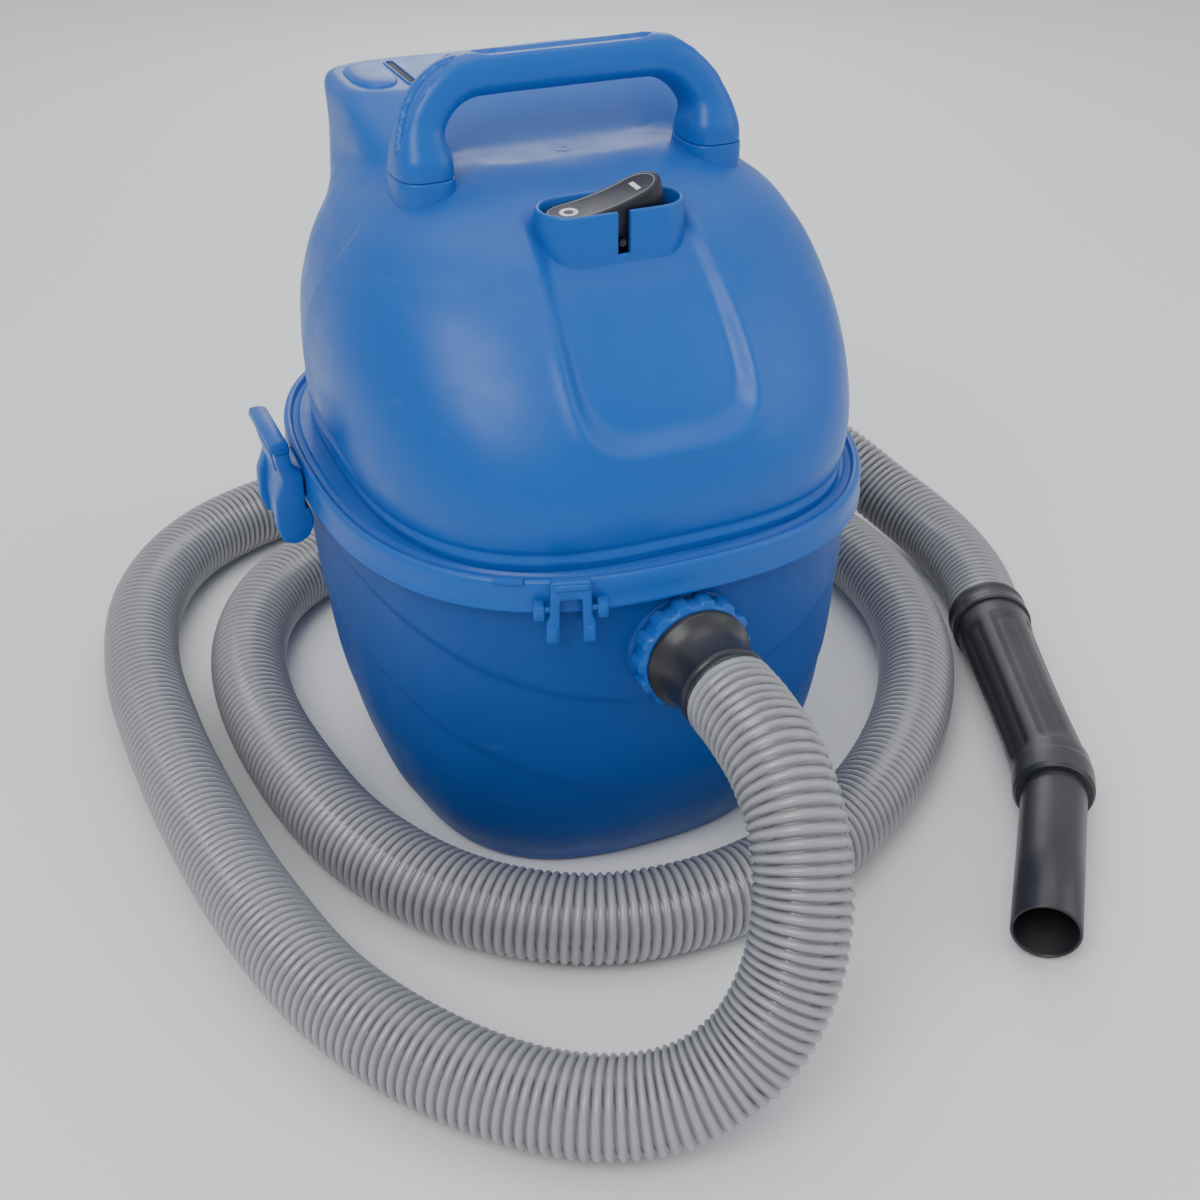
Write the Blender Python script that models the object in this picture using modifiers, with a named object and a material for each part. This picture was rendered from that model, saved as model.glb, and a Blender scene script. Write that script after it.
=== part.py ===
"""Portable wet and dry vacuum: a tapered tank, a lift-off motor head, two side latches and a ribbed hose.

Frame: metres, +Z up, floor at z = 0.  The inlet and the rocker switch face -Y and the handle runs along X.
The origin is on the tank's flat base, straight under the middle of its mouth.
"""

import math

import bmesh
import bpy
import numpy as np
from mathutils import Matrix, Vector

# ---------------------------------------------------------------- driving dimensions (metres)
GAP = 0.0003                 # face to face clearance between pieces that touch
RUN = 0.0005                 # clearance beside a piece that turns or slides
SIDES = 40                   # points round a body section

TANK_BASE_X = 0.104          # half widths of the base, above its rounded edge
TANK_BASE_Y = 0.115
TANK_TOP_X = 0.133           # half widths of the mouth
TANK_TOP_Y = 0.150
TANK_HEIGHT = 0.1835
TANK_WALL = 0.003
TANK_BASE_SHIFT = -0.008     # the base sits a little forward of the mouth
FLANGE_REACH = 0.0028        # the lip round the mouth
FLANGE_THICK = 0.004
TANK_TAPER = ((0.0, -0.17), (0.033, 0.0), (0.27, 0.55), (0.55, 0.83), (1.0, 1.0))

RING_REACH = 0.006           # lid ring past the tank's mouth
RING_SKIRT = 0.0065          # how far the skirt hangs below the tank's lip
RING_SKIRT_WALL = 0.0025
RING_PLATE = 0.006
GASKET_THICK = 0.0024
GASKET_WIDTH = 0.006
INTAKE_R = 0.0165            # hole from the filter to the fan, which the float closes

HEAD_LEDGE = 0.010           # the head's widest section inside the ring's edge, at its sides and front
HEAD_LEDGE_BACK = 0.019
HEAD_HEIGHT = 0.147          # from the ring to the flat top
HEAD_WALL = 0.003
HEAD_PROFILE = (             # share of height, of half width, of front reach, of back reach
    (0.00, 0.938, 0.979, 0.971),
    (0.15, 0.985, 1.000, 1.000),
    (0.35, 1.000, 0.952, 1.000),
    (0.56, 0.977, 0.808, 0.985),
    (0.75, 0.892, 0.616, 0.950),
    (0.87, 0.775, 0.452, 0.900),
    (0.94, 0.636, 0.300, 0.820),
    (1.00, 0.430, 0.150, 0.700),
)
HUMP_X = 0.087               # the vent hump behind the handle
HUMP_RISE = 0.018
HUMP_FRONT = 0.060
HUMP_BACK = 0.130
HUMP_SLOPE = 0.048
VENT_PITCH = 0.033
VENT_WIDTH = 0.004
VENT_DEPTH = 0.008
PAD_RISE = 0.003
PAD_X = 0.012
PAD_Y = 0.026

HANDLE_SPAN = 0.0735         # half distance between the legs
HANDLE_RISE = 0.0510         # from its feet to the top of its bar
HANDLE_THICK = 0.021
HANDLE_DEPTH = 0.027
HANDLE_CORNER = 0.031
HANDLE_Y = -0.009
HANDLE_LEAN = 0.008
SOCKET_LENGTH = 0.030

WELL_Y = -0.060              # the switch's raised collar
WELL_DROP = 0.0075           # from the head's flat top down to the collar's edge
WELL_MARGIN = 0.0045         # beside the rocker, for its tilt
WELL_WALL = 0.0025
WELL_DEPTH = 0.0263
ROCKER_HALF_LENGTH = 0.0290
ROCKER_HALF_WIDTH = 0.0122
ROCKER_PIVOT_DROP = 0.0153   # below the collar's top
ROCKER_TILT = 14.0           # degrees to either side of level
ROCKER_PIN_R = 0.0018

INLET_DROP = 0.0385          # from the tank's mouth down to the inlet's axis
SPIGOT_R = 0.0205
SPIGOT_BORE = 0.0175
COLLAR_R = 0.0265
COLLAR_RIB = 0.0022
COLLAR_RIBS = 14
COLLAR_LENGTH = 0.0105
CUFF_FLANGE_R = 0.0255
CUFF_NECK_R = 0.0185
CUFF_LENGTH = 0.034

LATCH_Y = 0.020
LATCH_WIDTH = 0.044
LATCH_WALL = 0.003
LATCH_DEPTH = 0.0135
LATCH_REACH_DOWN = 0.0325    # from the pivot
LATCH_REACH_UP = 0.0255
LATCH_NOSE_GAP = 0.0006      # from the hook to the tank's lip
LATCH_PIN_R = 0.0018
LUG_WIDTH = 0.026

CLIP_X = -0.058              # where the front clip sits along the rim
CLIP_HALF_WIDTH = 0.0112
CLIP_BAR = 0.007
CLIP_LEG = 0.0047
CLIP_THICK = 0.0055
CLIP_REACH_DOWN = 0.0170     # from its pins
CLIP_REACH_UP = 0.0150
CLIP_PIN_R = 0.0014
CLIP_EAR = 0.0052

MOTOR_Y = 0.014              # the motor stands upright on this axis
FAN_CAN_R = 0.060
FAN_CAN_HEIGHT = 0.034
STATOR_R = 0.040
STATOR_BORE = 0.0240
STATOR_HEIGHT = 0.044
ARMATURE_R = 0.0225
SHAFT_R = 0.0040
BEARING_R = 0.0110

CAGE_R = 0.047
CAGE_HEIGHT = 0.080
FOAM_THICK = 0.009
FLOAT_R = 0.019

GRILLE_HALF_WIDTH = 0.040
GRILLE_RISE = 0.0392         # above the ring
GRILLE_HEIGHT = 0.043

GLAND_X = 0.050
GLAND_RISE = 0.0187          # above the ring
GLAND_R = 0.0065

HOSE_OD = 0.044
WAND_TUBE_R = 0.0171
WAND_BORE_R = 0.0153
WAND_GRIP_R = 0.0226
WAND_START = (0.2650, -0.0300)
WAND_BEND = (0.2060, -0.1800)
WAND_TIP = (0.1360, -0.2700)
WAND_SOCKET = 0.032

HOSE_POINTS = 68

# ---------------------------------------------------------------- sizes that follow from those above
INLET_Z = TANK_HEIGHT - INLET_DROP
RING_X = TANK_TOP_X + RING_REACH
RING_Y = TANK_TOP_Y + RING_REACH
HEAD_X = RING_X - HEAD_LEDGE
HEAD_FRONT = RING_Y - HEAD_LEDGE
HEAD_BACK = RING_Y - HEAD_LEDGE_BACK
RING_LOW = TANK_HEIGHT - RING_SKIRT
PLATE_LOW = TANK_HEIGHT + GAP + GASKET_THICK + GAP
RING_TOP = PLATE_LOW + RING_PLATE
HEAD_LOW = RING_TOP + GAP
DOME_TOP = HEAD_LOW + HEAD_HEIGHT
HUMP_TOP = DOME_TOP + HUMP_RISE
HANDLE_SEAM = DOME_TOP + 0.0002
HANDLE_TOP = HANDLE_SEAM + HANDLE_RISE
WELL_HALF_LENGTH = ROCKER_HALF_LENGTH + WELL_MARGIN + WELL_WALL
WELL_HALF_WIDTH = ROCKER_HALF_WIDTH + 0.0018 + WELL_WALL
WELL_TOP = DOME_TOP - WELL_DROP
GRILLE_LOW = HEAD_LOW + GRILLE_RISE
GRILLE_HIGH = GRILLE_LOW + GRILLE_HEIGHT
GLAND_Z = HEAD_LOW + GLAND_RISE
LATCH_PIVOT_Z = RING_LOW + 0.0085
LATCH_BOTTOM = LATCH_PIVOT_Z - LATCH_REACH_DOWN
LATCH_TOP = LATCH_PIVOT_Z + LATCH_REACH_UP
CLIP_PIVOT_Z = RING_LOW + 0.0045
CLIP_TOP = CLIP_PIVOT_Z + CLIP_REACH_UP
CLIP_BOTTOM = CLIP_PIVOT_Z - CLIP_REACH_DOWN
ROCKER_PIVOT_Z = WELL_TOP - ROCKER_PIVOT_DROP
WELL_FLOOR = WELL_TOP - WELL_DEPTH
COLLAR_BACK = -(TANK_TOP_Y + 0.0015)
COLLAR_FACE = COLLAR_BACK - COLLAR_LENGTH
CUFF_BACK = COLLAR_FACE - RUN
CUFF_FRONT = CUFF_BACK - CUFF_LENGTH
FAN_CAN_LOW = RING_TOP + 0.0050
FAN_CAN_TOP = FAN_CAN_LOW + FAN_CAN_HEIGHT
STATOR_LOW = FAN_CAN_TOP + 0.0100
STATOR_TOP = STATOR_LOW + STATOR_HEIGHT
CAGE_TOP = PLATE_LOW - GAP
CAGE_LOW = CAGE_TOP - CAGE_HEIGHT
LATCH_OUT = RING_X + 0.0008 + LATCH_DEPTH
LATCH_PIVOT_X = RING_X + 0.0045
LATCH_NOSE_X = TANK_TOP_X + FLANGE_REACH + LATCH_NOSE_GAP
WAND_Z = WAND_GRIP_R + 0.0012
WAND_RUN = math.dist(WAND_START, WAND_BEND)
WAND_WAY = [(b - a) / WAND_RUN for a, b in zip(WAND_START, WAND_BEND)]

# The hose's route, from the cuff to the wand, as points on its centre line.
HOSE_ROUTE = (
    (0.0, CUFF_FRONT - GAP, INLET_Z), (0.0, CUFF_FRONT - 0.020, INLET_Z - 0.0006), (-0.0005, -0.242, 0.1390),
    (-0.003, -0.2655, 0.1240), (-0.009, -0.2840, 0.0985), (-0.0215, -0.2965, 0.0690), (-0.0435, -0.3020, 0.0430),
    (-0.0765, -0.2980, 0.0275), (-0.117, -0.2780, 0.0228), (-0.157, -0.2370, 0.0225), (-0.188, -0.180, 0.0225),
    (-0.206, -0.110, 0.0225), (-0.216, -0.035, 0.0225), (-0.221, 0.045, 0.0225), (-0.219, 0.120, 0.0225),
    (-0.203, 0.187, 0.0225), (-0.168, 0.240, 0.0225), (-0.115, 0.272, 0.0225), (-0.050, 0.284, 0.0225),
    (0.020, 0.281, 0.0225), (0.090, 0.262, 0.0225), (0.150, 0.226, 0.0225), (0.196, 0.174, 0.0225),
    (0.222, 0.110, 0.0225), (0.227, 0.040, 0.0225), (0.211, -0.030, 0.0225), (0.175, -0.090, 0.0225),
    (0.123, -0.142, 0.0225), (0.063, -0.177, 0.0225), (0.000, -0.190, 0.0225), (-0.062, -0.180, 0.0225),
    (-0.113, -0.142, 0.0225), (-0.146, -0.085, 0.0225), (-0.162, -0.015, 0.0225), (-0.166, 0.060, 0.0225),
    (-0.154, 0.123, 0.0225), (-0.123, 0.172, 0.0225), (-0.074, 0.201, 0.0225), (-0.012, 0.211, 0.0235),
    (0.048, 0.212, 0.0330), (0.104, 0.209, 0.0540), (0.158, 0.202, 0.0695), (0.208, 0.186, 0.0700),
    (0.2500, 0.155, 0.0560), (0.2770, 0.110, 0.0350), (0.2880, 0.060, 0.0248),
    *[(WAND_START[0] - WAND_WAY[0] * run, WAND_START[1] - WAND_WAY[1] * run, WAND_Z) for run in (0.044, GAP)],
)

for old in list(bpy.data.objects):
    bpy.data.objects.remove(old, do_unlink=True)

parts = bpy.data.collections.new("shop_vacuum")
cutters = bpy.data.collections.new("cutters")
for group in (parts, cutters):
    bpy.context.scene.collection.children.link(group)


# ---------------------------------------------------------------- materials
def plastic(name, colour, roughness, metallic=0.0):
    """A Principled material with one colour, roughness and metallic value."""
    material = bpy.data.materials.new(name)
    material.use_nodes = True
    shader = material.node_tree.nodes["Principled BSDF"]
    shader.inputs["Base Color"].default_value = (*colour, 1.0)
    shader.inputs["Roughness"].default_value = roughness
    shader.inputs["Metallic"].default_value = metallic
    material.diffuse_color = (*colour, 1.0)
    return material


BLUE = plastic("blue_shell", (0.010, 0.165, 0.565), 0.38)
BLACK = plastic("black_plastic", (0.022, 0.022, 0.027), 0.42)
SILVER = plastic("silver_hose", (0.36, 0.36, 0.37), 0.40, 0.15)
RUBBER = plastic("rubber", (0.020, 0.020, 0.020), 0.75)
FOAM = plastic("grey_foam", (0.090, 0.090, 0.095), 0.95)
STEEL = plastic("steel", (0.45, 0.45, 0.46), 0.32, 1.0)
COPPER = plastic("copper_winding", (0.45, 0.17, 0.07), 0.40, 0.9)
WHITE = plastic("white_plastic", (0.70, 0.70, 0.66), 0.45)


# ---------------------------------------------------------------- helpers
def dress(obj, material, smooth=40):
    """Give an object its material and smooth its round faces."""
    obj.data.materials.clear()
    obj.data.materials.append(material)
    if smooth:
        obj.data.shade_smooth()
        obj.data.set_sharp_from_angle(angle=math.radians(smooth))
    return obj


def add(name, bm, group=parts):
    """Turn a bmesh into a named object with its normals pointing out."""
    bmesh.ops.recalc_face_normals(bm, faces=bm.faces)
    mesh = bpy.data.meshes.new(name)
    bm.to_mesh(mesh)
    bm.free()
    obj = bpy.data.objects.new(name, mesh)
    group.objects.link(obj)
    if group is cutters:
        obj.hide_render = True
        obj.display_type = "WIRE"
    return obj


def section(half_x, front, back, power, z, count=SIDES, y=0.0):
    """A rounded-square ring at height z, with its own reach to the front and to the back."""
    turn = np.linspace(0.0, 2.0 * math.pi, count, endpoint=False)
    side, along = np.cos(turn), np.sin(turn)
    reach = np.where(along < 0.0, front, back)
    scale = (np.abs(side / half_x) ** power + np.abs(along / reach) ** power) ** (-1.0 / power)
    return np.column_stack((side * scale, along * scale + y, np.full(count, z)))


def loft(name, rings, group=parts, loop=False):
    """Skin rings that have the same number of points; the ends are capped unless they form a loop."""
    bm = bmesh.new()
    rows = [[bm.verts.new(point) for point in ring] for ring in rings]
    count = len(rows[0])
    pairs = list(zip(rows, rows[1:]))
    if loop:
        pairs.append((rows[-1], rows[0]))
    for low, high in pairs:
        for i in range(count):
            j = (i + 1) % count
            bm.faces.new((low[i], low[j], high[j], high[i]))
    if not loop:
        bm.faces.new(rows[0])
        bm.faces.new(rows[-1])
    return add(name, bm, group)


def box(name, low, high, group=parts, bevel=0.0):
    """A box between two corners, with its edges rounded if a bevel is given."""
    bm = bmesh.new()
    bmesh.ops.create_cube(bm, size=1.0)
    low, high = Vector(low), Vector(high)
    size = high - low
    bmesh.ops.scale(bm, vec=size, verts=bm.verts)
    bmesh.ops.translate(bm, vec=(low + high) / 2.0, verts=bm.verts)
    if bevel:
        bmesh.ops.bevel(bm, geom=bm.edges, offset=bevel, segments=2, affect="EDGES", profile=0.5)
    return add(name, bm, group)


def rod(name, start, end, radius, group=parts, sides=24, radius_end=None):
    """A cylinder or a cone between two points."""
    start, end = Vector(start), Vector(end)
    axis = end - start
    bm = bmesh.new()
    bmesh.ops.create_cone(
        bm, cap_ends=True, segments=sides, depth=axis.length,
        radius1=radius, radius2=radius if radius_end is None else radius_end,
    )
    turn = Vector((0.0, 0.0, 1.0)).rotation_difference(axis).to_matrix().to_4x4()
    bm.transform(Matrix.Translation((start + end) / 2.0) @ turn)
    return add(name, bm, group)


def turned(name, profile, centre=(0.0, 0.0, 0.0), sides=24, along_y=False, closed=True, group=parts):
    """A profile of (radius, height) points turned about Z, or about Y facing -Y, by a Screw modifier."""
    bm = bmesh.new()
    verts = [bm.verts.new((r, 0.0, h)) for r, h in profile]
    for a, b in zip(verts, verts[1:]):
        bm.edges.new((a, b))
    if closed:
        bm.edges.new((verts[-1], verts[0]))
    mesh = bpy.data.meshes.new(name)
    bm.to_mesh(mesh)
    bm.free()
    raw = bpy.data.objects.new(name + "_profile", mesh)
    cutters.objects.link(raw)
    screw = raw.modifiers.new("turn", "SCREW")
    screw.steps = screw.render_steps = sides
    screw.use_merge_vertices = True
    screw.merge_threshold = 0.00001
    bpy.context.view_layer.update()
    solid = bpy.data.meshes.new_from_object(raw.evaluated_get(bpy.context.evaluated_depsgraph_get()))
    bpy.data.objects.remove(raw, do_unlink=True)
    bm = bmesh.new()
    bm.from_mesh(solid)
    bmesh.ops.remove_doubles(bm, verts=bm.verts, dist=0.00001)
    if along_y:
        bm.transform(Matrix.Rotation(math.radians(90.0), 4, "X"))
    bmesh.ops.translate(bm, vec=centre, verts=bm.verts)
    return add(name, bm, group)


def tube(name, points, radii, group=parts, resolution=3):
    """A round bar along points, as a curve with filled caps made into a mesh with welded ends."""
    curve = bpy.data.curves.new(name + "_line", "CURVE")
    curve.dimensions = "3D"
    curve.bevel_depth = 1.0
    curve.bevel_resolution = resolution
    curve.use_fill_caps = True
    spline = curve.splines.new("POLY")
    spline.points.add(len(points) - 1)
    for target, point, radius in zip(spline.points, points, radii):
        target.co = (*point, 1.0)
        target.radius = radius
    raw = bpy.data.objects.new(name + "_line", curve)
    cutters.objects.link(raw)
    bpy.context.view_layer.update()
    mesh = bpy.data.meshes.new_from_object(raw.evaluated_get(bpy.context.evaluated_depsgraph_get()))
    bpy.data.objects.remove(raw, do_unlink=True)
    bm = bmesh.new()
    bm.from_mesh(mesh)
    bmesh.ops.remove_doubles(bm, verts=bm.verts, dist=0.00001)
    return add(name, bm, group)


def combine(obj, others, operation="DIFFERENCE"):
    """Apply a Boolean for each other object in turn, then remove the other objects."""
    for other in others:
        change = obj.modifiers.new(operation.lower(), "BOOLEAN")
        change.operation = operation
        change.solver = "EXACT"
        change.object = other
        bpy.context.view_layer.update()
        mesh = bpy.data.meshes.new_from_object(obj.evaluated_get(bpy.context.evaluated_depsgraph_get()))
        obj.modifiers.clear()
        obj.data = mesh
        bpy.data.objects.remove(other, do_unlink=True)
    return obj


def joined(name, objects, group=parts):
    """Put objects that don't touch into one object."""
    bm = bmesh.new()
    for obj in objects:
        bm.from_mesh(obj.data)
        bpy.data.objects.remove(obj, do_unlink=True)
    return add(name, bm, group)


def spun(obj, centre, degrees, axis="Z"):
    """Turn an object's mesh about a line through centre."""
    centre = Vector(centre)
    turn = Matrix.Translation(centre) @ Matrix.Rotation(math.radians(degrees), 4, axis)
    obj.data.transform(turn @ Matrix.Translation(-centre))
    return obj


def mirrored_x(obj):
    """Reflect an object's mesh in the plane x = 0 and turn its faces out again."""
    obj.data.transform(Matrix.Scale(-1.0, 4, (1.0, 0.0, 0.0)))
    obj.data.flip_normals()
    return obj


def hinge_at(obj, point):
    """Move an object's origin to a point on its joint's axis without moving its shape."""
    point = Vector(point)
    obj.data.transform(Matrix.Translation(-point))
    obj.location = point
    return obj


# ---------------------------------------------------------------- tank
def tank_ring(z, inset=0.0, shift_share=None):
    """The tank's outer section at height z, taken in by inset."""
    share = z / TANK_HEIGHT
    heights = [row[0] for row in TANK_TAPER]
    blend = float(np.interp(share, heights, [row[1] for row in TANK_TAPER]))
    half_x = TANK_BASE_X + (TANK_TOP_X - TANK_BASE_X) * blend - inset
    half_y = TANK_BASE_Y + (TANK_TOP_Y - TANK_BASE_Y) * blend - inset
    shift = TANK_BASE_SHIFT * (1.0 - (share if shift_share is None else shift_share))
    return section(half_x, half_y, half_y, 2.75 - 0.15 * share, z, y=shift)


def lip_ring(z, reach):
    """A ring round the tank's mouth, reach past its wall."""
    return section(TANK_TOP_X + reach, TANK_TOP_Y + reach, TANK_TOP_Y + reach, 2.6, z)


def rim_point(x):
    """A point on the lid ring's outline at x on its front half, and its outward and sideways directions."""
    power = 2.6
    y = -RING_Y * (1.0 - abs(x / RING_X) ** power) ** (1.0 / power)
    slope_x = math.copysign(abs(x / RING_X) ** (power - 1.0) / RING_X, x)
    slope_y = -abs(y / RING_Y) ** (power - 1.0) / RING_Y
    out = Vector((slope_x, slope_y, 0.0)).normalized()
    return Vector((x, y, 0.0)), out, Vector((-out.y, out.x, 0.0))


def on_rim(obj, x):
    """Move a mesh drawn with +X along the rim and -Y outwards to its place on the rim."""
    point, out, side = rim_point(x)
    place = Matrix(((side.x, -out.x, 0.0, point.x), (side.y, -out.y, 0.0, point.y),
                    (0.0, 0.0, 1.0, 0.0), (0.0, 0.0, 0.0, 1.0)))
    obj.data.transform(place)
    return obj


def make_tank():
    heights = [0.0, 0.033 * TANK_HEIGHT, 0.27 * TANK_HEIGHT, 0.55 * TANK_HEIGHT]
    outer = [tank_ring(z) for z in heights]
    flange_low = TANK_HEIGHT - FLANGE_THICK
    outer.append(lip_ring(flange_low, 0.0))
    outer.append(lip_ring(flange_low, FLANGE_REACH))
    outer.append(lip_ring(TANK_HEIGHT, FLANGE_REACH))
    inner = [lip_ring(TANK_HEIGHT, -TANK_WALL)]
    inner += [tank_ring(z, TANK_WALL) for z in (heights[3], heights[2], 0.006)]
    inner.append(tank_ring(TANK_WALL, 0.009))
    tank = loft("tank", outer + inner)
    inlet = rod("inlet_hole", (0.0, -TANK_TOP_Y - 0.02, INLET_Z), (0.0, -TANK_TOP_Y + 0.03, INLET_Z),
                SPIGOT_R + GAP, cutters, 32)
    combine(tank, [inlet])
    return dress(tank, BLUE)


def clip_ears():
    """The two ears on the lid ring that carry the front clip."""
    inner = CLIP_HALF_WIDTH + RUN
    ears = []
    for side in (-1, 1):
        low_x, high_x = sorted((side * inner, side * (inner + CLIP_EAR)))
        ear = box("ear", (low_x, -0.0068, RING_LOW + 0.0002), (high_x, 0.0014, CLIP_PIVOT_Z + 0.0028), cutters)
        ears.append(on_rim(ear, CLIP_X))
    return ears


def clip_sockets():
    """The open-topped notches in the ears that take the clip's pins."""
    out = -0.0040
    reach = CLIP_HALF_WIDTH + RUN + CLIP_EAR - 0.0012
    hole = rod("socket", (-reach, out, CLIP_PIVOT_Z), (reach, out, CLIP_PIVOT_Z), CLIP_PIN_R + GAP, cutters, 16)
    mouth = box("socket_mouth", (-reach, out - CLIP_PIN_R - GAP, CLIP_PIVOT_Z),
                (reach, out + CLIP_PIN_R + GAP, CLIP_PIVOT_Z + 0.01), cutters)
    combine(hole, [mouth], "UNION")
    return [on_rim(hole, CLIP_X)]


def make_front_clip():
    """An inverted U whose legs end in two pins that sit in the ears."""
    out, thick = -0.0040, CLIP_THICK / 2.0
    low = CLIP_BOTTOM
    body = box("front_clip", (-CLIP_HALF_WIDTH, out - thick, low), (CLIP_HALF_WIDTH, out + thick, CLIP_TOP),
               bevel=0.0010)
    inner = CLIP_HALF_WIDTH - CLIP_LEG
    window = box("window", (-inner, out - 0.01, low - 0.01), (inner, out + 0.01, CLIP_TOP - CLIP_BAR), cutters)
    pin_reach = CLIP_HALF_WIDTH + RUN + CLIP_EAR - 0.0016
    for side in (-1, 1):
        ends = sorted((side * (CLIP_HALF_WIDTH - 0.002), side * pin_reach))
        pin = rod("clip_pin", (ends[0], out, CLIP_PIVOT_Z), (ends[1], out, CLIP_PIVOT_Z), CLIP_PIN_R, cutters, 16)
        combine(body, [pin], "UNION")
    combine(body, [window])
    on_rim(body, CLIP_X)
    point, outward, _ = rim_point(CLIP_X)
    pivot = point + outward * -out
    pivot.z = CLIP_PIVOT_Z
    return dress(hinge_at(body, pivot), BLUE)


# ---------------------------------------------------------------- inlet
def make_spigot():
    """The threaded tube through the tank's front wall, with a flange inside."""
    front, back = -(CUFF_BACK + 0.0010), TANK_TOP_Y - 0.018
    inner_wall = TANK_TOP_Y - TANK_WALL - 0.0065
    profile = ((SPIGOT_BORE, back), (SPIGOT_R + 0.005, back), (SPIGOT_R + 0.005, inner_wall - 0.0020),
               (SPIGOT_R, inner_wall - 0.0020), (SPIGOT_R, front), (SPIGOT_BORE, front))
    return dress(turned("inlet_spigot", profile, (0.0, 0.0, INLET_Z), along_y=True), BLUE)


def make_collar():
    """The ribbed locking collar round the spigot."""
    count = COLLAR_RIBS * 4
    turn = np.linspace(0.0, 2.0 * math.pi, count, endpoint=False)
    proud = (np.arange(count) % 4) < 2
    bore = np.full(count, SPIGOT_R + RUN)

    def ring(radius, y):
        return np.column_stack((radius * np.cos(turn), np.full(count, y), INLET_Z + radius * np.sin(turn)))

    plain = np.full(count, COLLAR_R)
    ribbed = plain + np.where(proud, COLLAR_RIB, 0.0)
    rings = [ring(bore, COLLAR_BACK), ring(ribbed, COLLAR_BACK), ring(ribbed, COLLAR_FACE + 0.0015),
             ring(plain - 0.0008, COLLAR_FACE), ring(bore, COLLAR_FACE)]
    collar = loft("locking_collar", rings, loop=True)
    return dress(hinge_at(collar, (0.0, COLLAR_FACE, INLET_Z)), BLUE, 25)


def make_cuff():
    """The black bell-mouthed end of the hose, held against the collar."""
    length = CUFF_LENGTH
    flare = [(CUFF_NECK_R + (CUFF_FLANGE_R - CUFF_NECK_R) * (1.0 - s) ** 2.2, 0.0035 + (length - 0.010) * s)
             for s in np.linspace(0.0, 1.0, 5)]
    profile = [(SPIGOT_BORE - 0.001, 0.0), (CUFF_FLANGE_R, 0.0), (CUFF_FLANGE_R, 0.0030)]
    profile += flare
    profile += [(CUFF_NECK_R + 0.0025, length - 0.0055), (CUFF_NECK_R + 0.0025, length)]
    profile += [(SPIGOT_BORE - 0.001, length)]
    cuff = turned("hose_cuff", profile, (0.0, CUFF_BACK, INLET_Z), along_y=True)
    return dress(cuff, BLACK)


def make_hood():
    """The hood inside the tank that turns what comes in downwards."""
    back = TANK_TOP_Y - 0.0185
    reach = 0.026
    hood = box("inlet_hood", (-0.026, -back, INLET_Z - 0.030), (0.026, -back + reach, INLET_Z + 0.028), bevel=0.004)
    hollow = box("hollow", (-0.0235, -back - 0.01, INLET_Z - 0.045), (0.0235, -back + reach - 0.0025,
                                                                     INLET_Z + 0.0255), cutters)
    combine(hood, [hollow])
    return dress(hood, BLUE)


# ---------------------------------------------------------------- lid ring
def ring_outline(z, inset=0.0):
    return section(RING_X - inset, RING_Y - inset, RING_Y - inset, 2.6, z)


def make_lid_ring():
    """The head's base: a plate with a rounded skirt that drops over the tank's lip."""
    rounding = 0.0035
    rings = [
        section(INTAKE_R, INTAKE_R, INTAKE_R, 2.0, RING_TOP, y=MOTOR_Y),
        section(INTAKE_R, INTAKE_R, INTAKE_R, 2.0, PLATE_LOW, y=MOTOR_Y),
        ring_outline(PLATE_LOW, RING_SKIRT_WALL),
        ring_outline(RING_LOW, RING_SKIRT_WALL),
        ring_outline(RING_LOW),
        ring_outline(RING_TOP - rounding),
        ring_outline(RING_TOP - rounding * 0.3, rounding * 0.3),
        ring_outline(RING_TOP, rounding),
    ]
    ring = loft("lid_ring", rings, loop=True)
    lugs = []
    for flip in (False, True):
        lug = box("lug", (-(RING_X + 0.0078), LATCH_Y - LUG_WIDTH / 2.0, RING_LOW + 0.0010),
                  (-(RING_X - 0.0022), LATCH_Y + LUG_WIDTH / 2.0, RING_TOP - 0.0015), cutters, bevel=0.0010)
        lugs.append(mirrored_x(lug) if flip else lug)
    combine(ring, lugs + clip_ears(), "UNION")
    holes = [rod("screw_hole", (x, y, PLATE_LOW - 0.01), (x, y, RING_TOP + 0.01), 0.0022, cutters, 12)
             for x, y in base_screw_places()]
    holes += [rod("pin_hole", (side * LATCH_PIVOT_X, LATCH_Y - 0.03, LATCH_PIVOT_Z),
                  (side * LATCH_PIVOT_X, LATCH_Y + 0.03, LATCH_PIVOT_Z), LATCH_PIN_R + GAP, cutters, 16)
              for side in (-1, 1)]
    combine(ring, holes + clip_sockets())
    return dress(ring, BLUE)


def base_screw_places():
    return [(sx * HEAD_X * 0.60, sy * HEAD_BACK * 0.62) for sx in (-1, 1) for sy in (-1, 1)]


def make_base_screws():
    """The four screws that hold the lid ring up to the head's bosses."""
    for number, (x, y) in enumerate(base_screw_places(), 1):
        screw = rod(f"base_screw_{number}", (x, y, PLATE_LOW - 0.0028), (x, y, PLATE_LOW - GAP), 0.0042, sides=12)
        shank = rod("shank", (x, y, PLATE_LOW - 0.001), (x, y, RING_TOP + 0.009), 0.0017, cutters, 12)
        dress(combine(screw, [shank], "UNION"), STEEL)


def make_gasket():
    """The rubber seal between the tank's lip and the plate."""
    low, high = TANK_HEIGHT + GAP, TANK_HEIGHT + GAP + GASKET_THICK
    out = FLANGE_REACH - 0.0005
    rings = [lip_ring(high, out), lip_ring(low, out), lip_ring(low, out - GASKET_WIDTH), lip_ring(high, out - GASKET_WIDTH)]
    return dress(loft("lid_gasket", rings, loop=True), RUBBER)


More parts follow.
